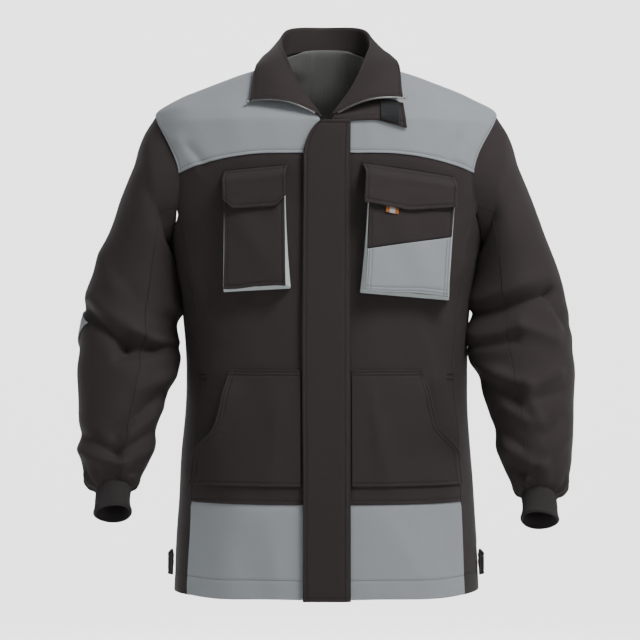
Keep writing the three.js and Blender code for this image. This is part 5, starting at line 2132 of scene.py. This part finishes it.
class JACKET_OT_collar(bpy.types.Operator):
    """Turned-down collar in one sheet, with the open zip's teeth along its front edges"""

    bl_idname = "jacket.collar"
    bl_label = "Collar"

    def execute(self, context):
        dark = dark_cloth()
        metal = metal_material()

        def outward(middle):
            guide = np.zeros(middle.shape)
            half = middle.shape[0] // 2
            guide[...] = unit(middle * [1, 1, 0] + [0, 0, 1e-6])
            guide[:half] *= -1
            return guide

        def place(u, v):
            return collar_point(u, v)

        obj = cloth_sheet(
            "collar_cloth",
            place,
            (520, 150),
            outward,
            dark,
            "dark_drill",
            ["collar_stand", "collar_back", "collar_leaf_left", "collar_leaf_right"],
            "jacket_body",
            edges=("turned", "turned", "seam", "turned"),
            thickness=2.4,
            step=3.5,
            thread="dark",
        )
        pitch = context.scene.jacket_sizes.tooth_pitch * 1000
        for side, s in SIDES.items():
            v = np.linspace(0.06, 0.99, 200)
            one = np.ones_like(v)
            lift = collar_lift(one, s)
            edge = turned_point(one, v, lift)
            inner = turned_point(0.97 * one, v, lift)
            for line in (edge, inner):
                line[:, 0] *= s
            run = np.concatenate([[0], np.linalg.norm(np.diff(edge, axis=0), axis=1).cumsum()])
            at = np.arange(pitch / 2, run[-1], pitch)
            place_at = np.stack([np.interp(at, run, edge[:, k]) for k in range(3)], -1)
            inner_at = np.stack([np.interp(at, run, inner[:, k]) for k in range(3)], -1)
            across = unit(place_at - inner_at)
            along = unit(np.gradient(place_at, axis=0))
            across = unit(across - along * np.sum(across * along, -1, keepdims=True))
            deep = np.cross(across, along)
            obj = teeth(
                f"zip_teeth_collar_{side}_chain",
                place_at + across * (1.3 if s > 0 else 0.2),
                across,
                along,
                deep,
                1.15,
                0.9,
            )
            finish(obj, metal, [f"zip_teeth_collar_{side}"], "jacket_body")
        return {"FINISHED"}


class JACKET_OT_stitching(bpy.types.Operator):
    """Sewing thread along every stitch line, one slim capsule per stitch"""

    bl_idname = "jacket.stitching"
    bl_label = "Stitching"

    def execute(self, context):
        sizes = context.scene.jacket_sizes
        colours = context.scene.jacket_colours
        pitch, width = sizes.stitch_pitch * 1000, sizes.stitch_width * 1000
        materials = {
            "dark": simple_material(
                "dark_thread", tuple(colours.dark_thread), 0.6, 2600.0, 0.0002, 0.3, 0.1
            ),
            "grey": simple_material(
                "grey_thread", tuple(colours.grey_thread), 0.6, 2600.0, 0.0002, 0.25, 0.1
            ),
        }
        materials["bar"] = materials["dark"]
        for number, ((hold, colour), lines) in enumerate(THREADS.items()):
            gap = 0.5 if colour == "bar" else pitch
            points, faces, count = [], [], 0
            for line, face in lines:
                run = np.concatenate(
                    [[0], np.linalg.norm(np.diff(line, axis=0), axis=1).cumsum()]
                )
                if run[-1] < 8:
                    continue
                at = np.arange(2.5, run[-1] - 2.5, gap)
                centre = np.stack([np.interp(at, run, line[:, k]) for k in range(3)], -1)
                ahead = np.stack([np.interp(at + 0.5, run, line[:, k]) for k in range(3)], -1)
                normal = unit(
                    np.stack([np.interp(at, run, face[:, k]) for k in range(3)], -1)
                )
                along = unit(ahead - centre)
                if colour == "bar":
                    along = unit(np.cross(along, normal) + 0.15 * along)
                aside = np.cross(normal, along)
                # Four rings of five points: a capsule whose ends dip into the cloth.
                s = np.array([-0.5, -0.3, 0.3, 0.5]) * 0.74 * (3.0 if colour == "bar" else pitch)
                r = np.array([0.35, 1, 1, 0.35]) * width / 2
                dip = np.array([-0.35, 0, 0, -0.35]) * width
                angle = np.arange(5) * 2 * PI / 5
                ring = (
                    centre[:, None, None]
                    + along[:, None, None] * s[None, :, None, None]
                    + normal[:, None, None]
                    * (dip[:, None] + r[:, None] * np.sin(angle)[None])[None, ..., None]
                    + aside[:, None, None] * (r[:, None] * np.cos(angle)[None])[None, ..., None]
                )
                k = len(centre)
                base = count + (np.arange(k) * 20)[:, None, None]
                a = (np.arange(3) * 5)[None, :, None] + np.arange(5)[None, None] + base
                b = (np.arange(3) * 5)[None, :, None] + ((np.arange(5) + 1) % 5)[None, None] + base
                faces.append(np.stack([a, b, b + 5, a + 5], -1).reshape(-1, 4))
                points.append(ring.reshape(-1, 3))
                count += k * 20
            if not points:
                continue
            owner = hold if isinstance(hold, str) else hold[1]
            name = f"stitching_{owner}_{colour}_{number}"
            obj = make_object(name, np.concatenate(points), np.concatenate(faces))
            finish(obj, materials[colour], [], hold)
        THREADS.clear()
        return {"FINISHED"}


class JACKET_OT_stage(bpy.types.Operator):
    """Pale floor and backdrop, soft lights and the camera"""

    bl_idname = "jacket.stage"
    bl_label = "Stage"

    def execute(self, context):
        # A bowl: flat to 5 m, then rising as a quarter circle of 3 m.
        radius = np.concatenate([np.linspace(0, 5, 8), 5 + 3 * np.sin(np.linspace(0.1, PI / 2, 12))])
        rise = np.concatenate([np.zeros(8), 3 * (1 - np.cos(np.linspace(0.1, PI / 2, 12)))])
        turn = np.linspace(0, 2 * PI, 64, endpoint=False)
        points = np.stack(
            [
                radius[:, None] * np.cos(turn),
                radius[:, None] * np.sin(turn),
                rise[:, None] - 1.5 + 0 * turn,
            ],
            -1,
        ) * 1000 + [0, 0, BODY_LENGTH]
        index = np.arange(points[..., 0].size).reshape(points.shape[:2])
        right = np.roll(index, -1, axis=1)
        quads = np.stack(
            [q.ravel() for q in (index[:-1], right[:-1], right[1:], index[1:])], -1
        )
        floor = make_object("stage_floor", points.reshape(-1, 3), quads[:, ::-1])
        floor.data.materials.append(
            simple_material("stage_paper", (0.86, 0.86, 0.86), 0.9, 40.0, 0.0002, 0.01)
        )
        world = bpy.data.worlds.new("studio")
        context.scene.world = world
        world.use_nodes = True
        world.node_tree.nodes["Background"].inputs[0].default_value = (0.97, 0.985, 1, 1)
        world.node_tree.nodes["Background"].inputs[1].default_value = 0.16
        for name, place, aim, size, power in (
            ("key", (1.2, -1.35, 1.75), (0, 0, -0.1), 1.1, 72),
            ("fill", (-2.2, -2.0, 0.5), (0, 0, -0.3), 1.6, 5),
            ("back", (-0.9, 2.2, 1.5), (0, 0, -0.3), 1.4, 26),
            ("left_backdrop", (-1.6, 1.2, 1.2), (-0.6, 7, 0.2), 1.5, 600),
            ("right_backdrop", (1.6, 1.2, 1.2), (0.6, 7, 0.2), 1.5, 600),
            ("left_wall", (-1.9, 0.2, 1.4), (-8, 0, 0), 1.5, 110),
            ("right_wall", (1.9, 0.2, 1.4), (8, -3, 0), 1.5, 110),
            ("near_wall", (0.5, -2.6, 1.9), (4, -8, 0), 1.5, 70),
        ):
            data = bpy.data.lights.new(f"{name}_light", "AREA")
            data.shape = "DISK"
            data.size = size
            data.energy = power
            light = bpy.data.objects.new(f"{name}_light", data)
            context.scene.collection.objects.link(light)
            light.location = place
            direction = np.array(aim, float) - np.array(place, float)

            light.rotation_euler = Vector(direction).to_track_quat("-Z", "Y").to_euler()
        lens = bpy.data.cameras.new("camera")
        lens.lens = 118.8
        lens.sensor_width = 36
        camera = bpy.data.objects.new("camera", lens)
        context.scene.collection.objects.link(camera)
        camera.location = (-0.0085, -3.0, -0.363)
        camera.rotation_euler = (PI / 2, 0, 0)
        context.scene.camera = camera
        return {"FINISHED"}


class JACKET_PT_panel(bpy.types.Panel):
    """Lists the jacket's pieces, sizes and colours"""

    bl_label = "Work jacket"
    bl_space_type = "VIEW_3D"
    bl_region_type = "UI"
    bl_category = "Jacket"

    def draw(self, context):
        layout = self.layout
        for operator in OPERATORS:
            layout.operator(operator.bl_idname)
        for group in (context.scene.jacket_sizes, context.scene.jacket_colours):
            for key in group.__annotations__:
                layout.prop(group, key)


OPERATORS = (
    JACKET_OT_body_panels,
    JACKET_OT_sleeves,
    JACKET_OT_cuffs,
    JACKET_OT_front_zip,
    JACKET_OT_storm_flap,
    JACKET_OT_chest_pockets,
    JACKET_OT_hand_pockets,
    JACKET_OT_hem_tabs,
    JACKET_OT_collar,
    JACKET_OT_stitching,
    JACKET_OT_stage,
)
CLASSES = (JacketSizes, JacketColours, *OPERATORS, JACKET_PT_panel)


def register():
    for item in CLASSES:
        bpy.utils.register_class(item)
    bpy.types.Scene.jacket_sizes = PointerProperty(type=JacketSizes)
    bpy.types.Scene.jacket_colours = PointerProperty(type=JacketColours)


def unregister():
    del bpy.types.Scene.jacket_colours
    del bpy.types.Scene.jacket_sizes
    for item in reversed(CLASSES):
        bpy.utils.unregister_class(item)


def main():
    """Builds every piece in order."""
    register()
    for operator in OPERATORS:
        group, name = operator.bl_idname.split(".")
        getattr(getattr(bpy.ops, group), name)()


if __name__ == "__main__":
    main()
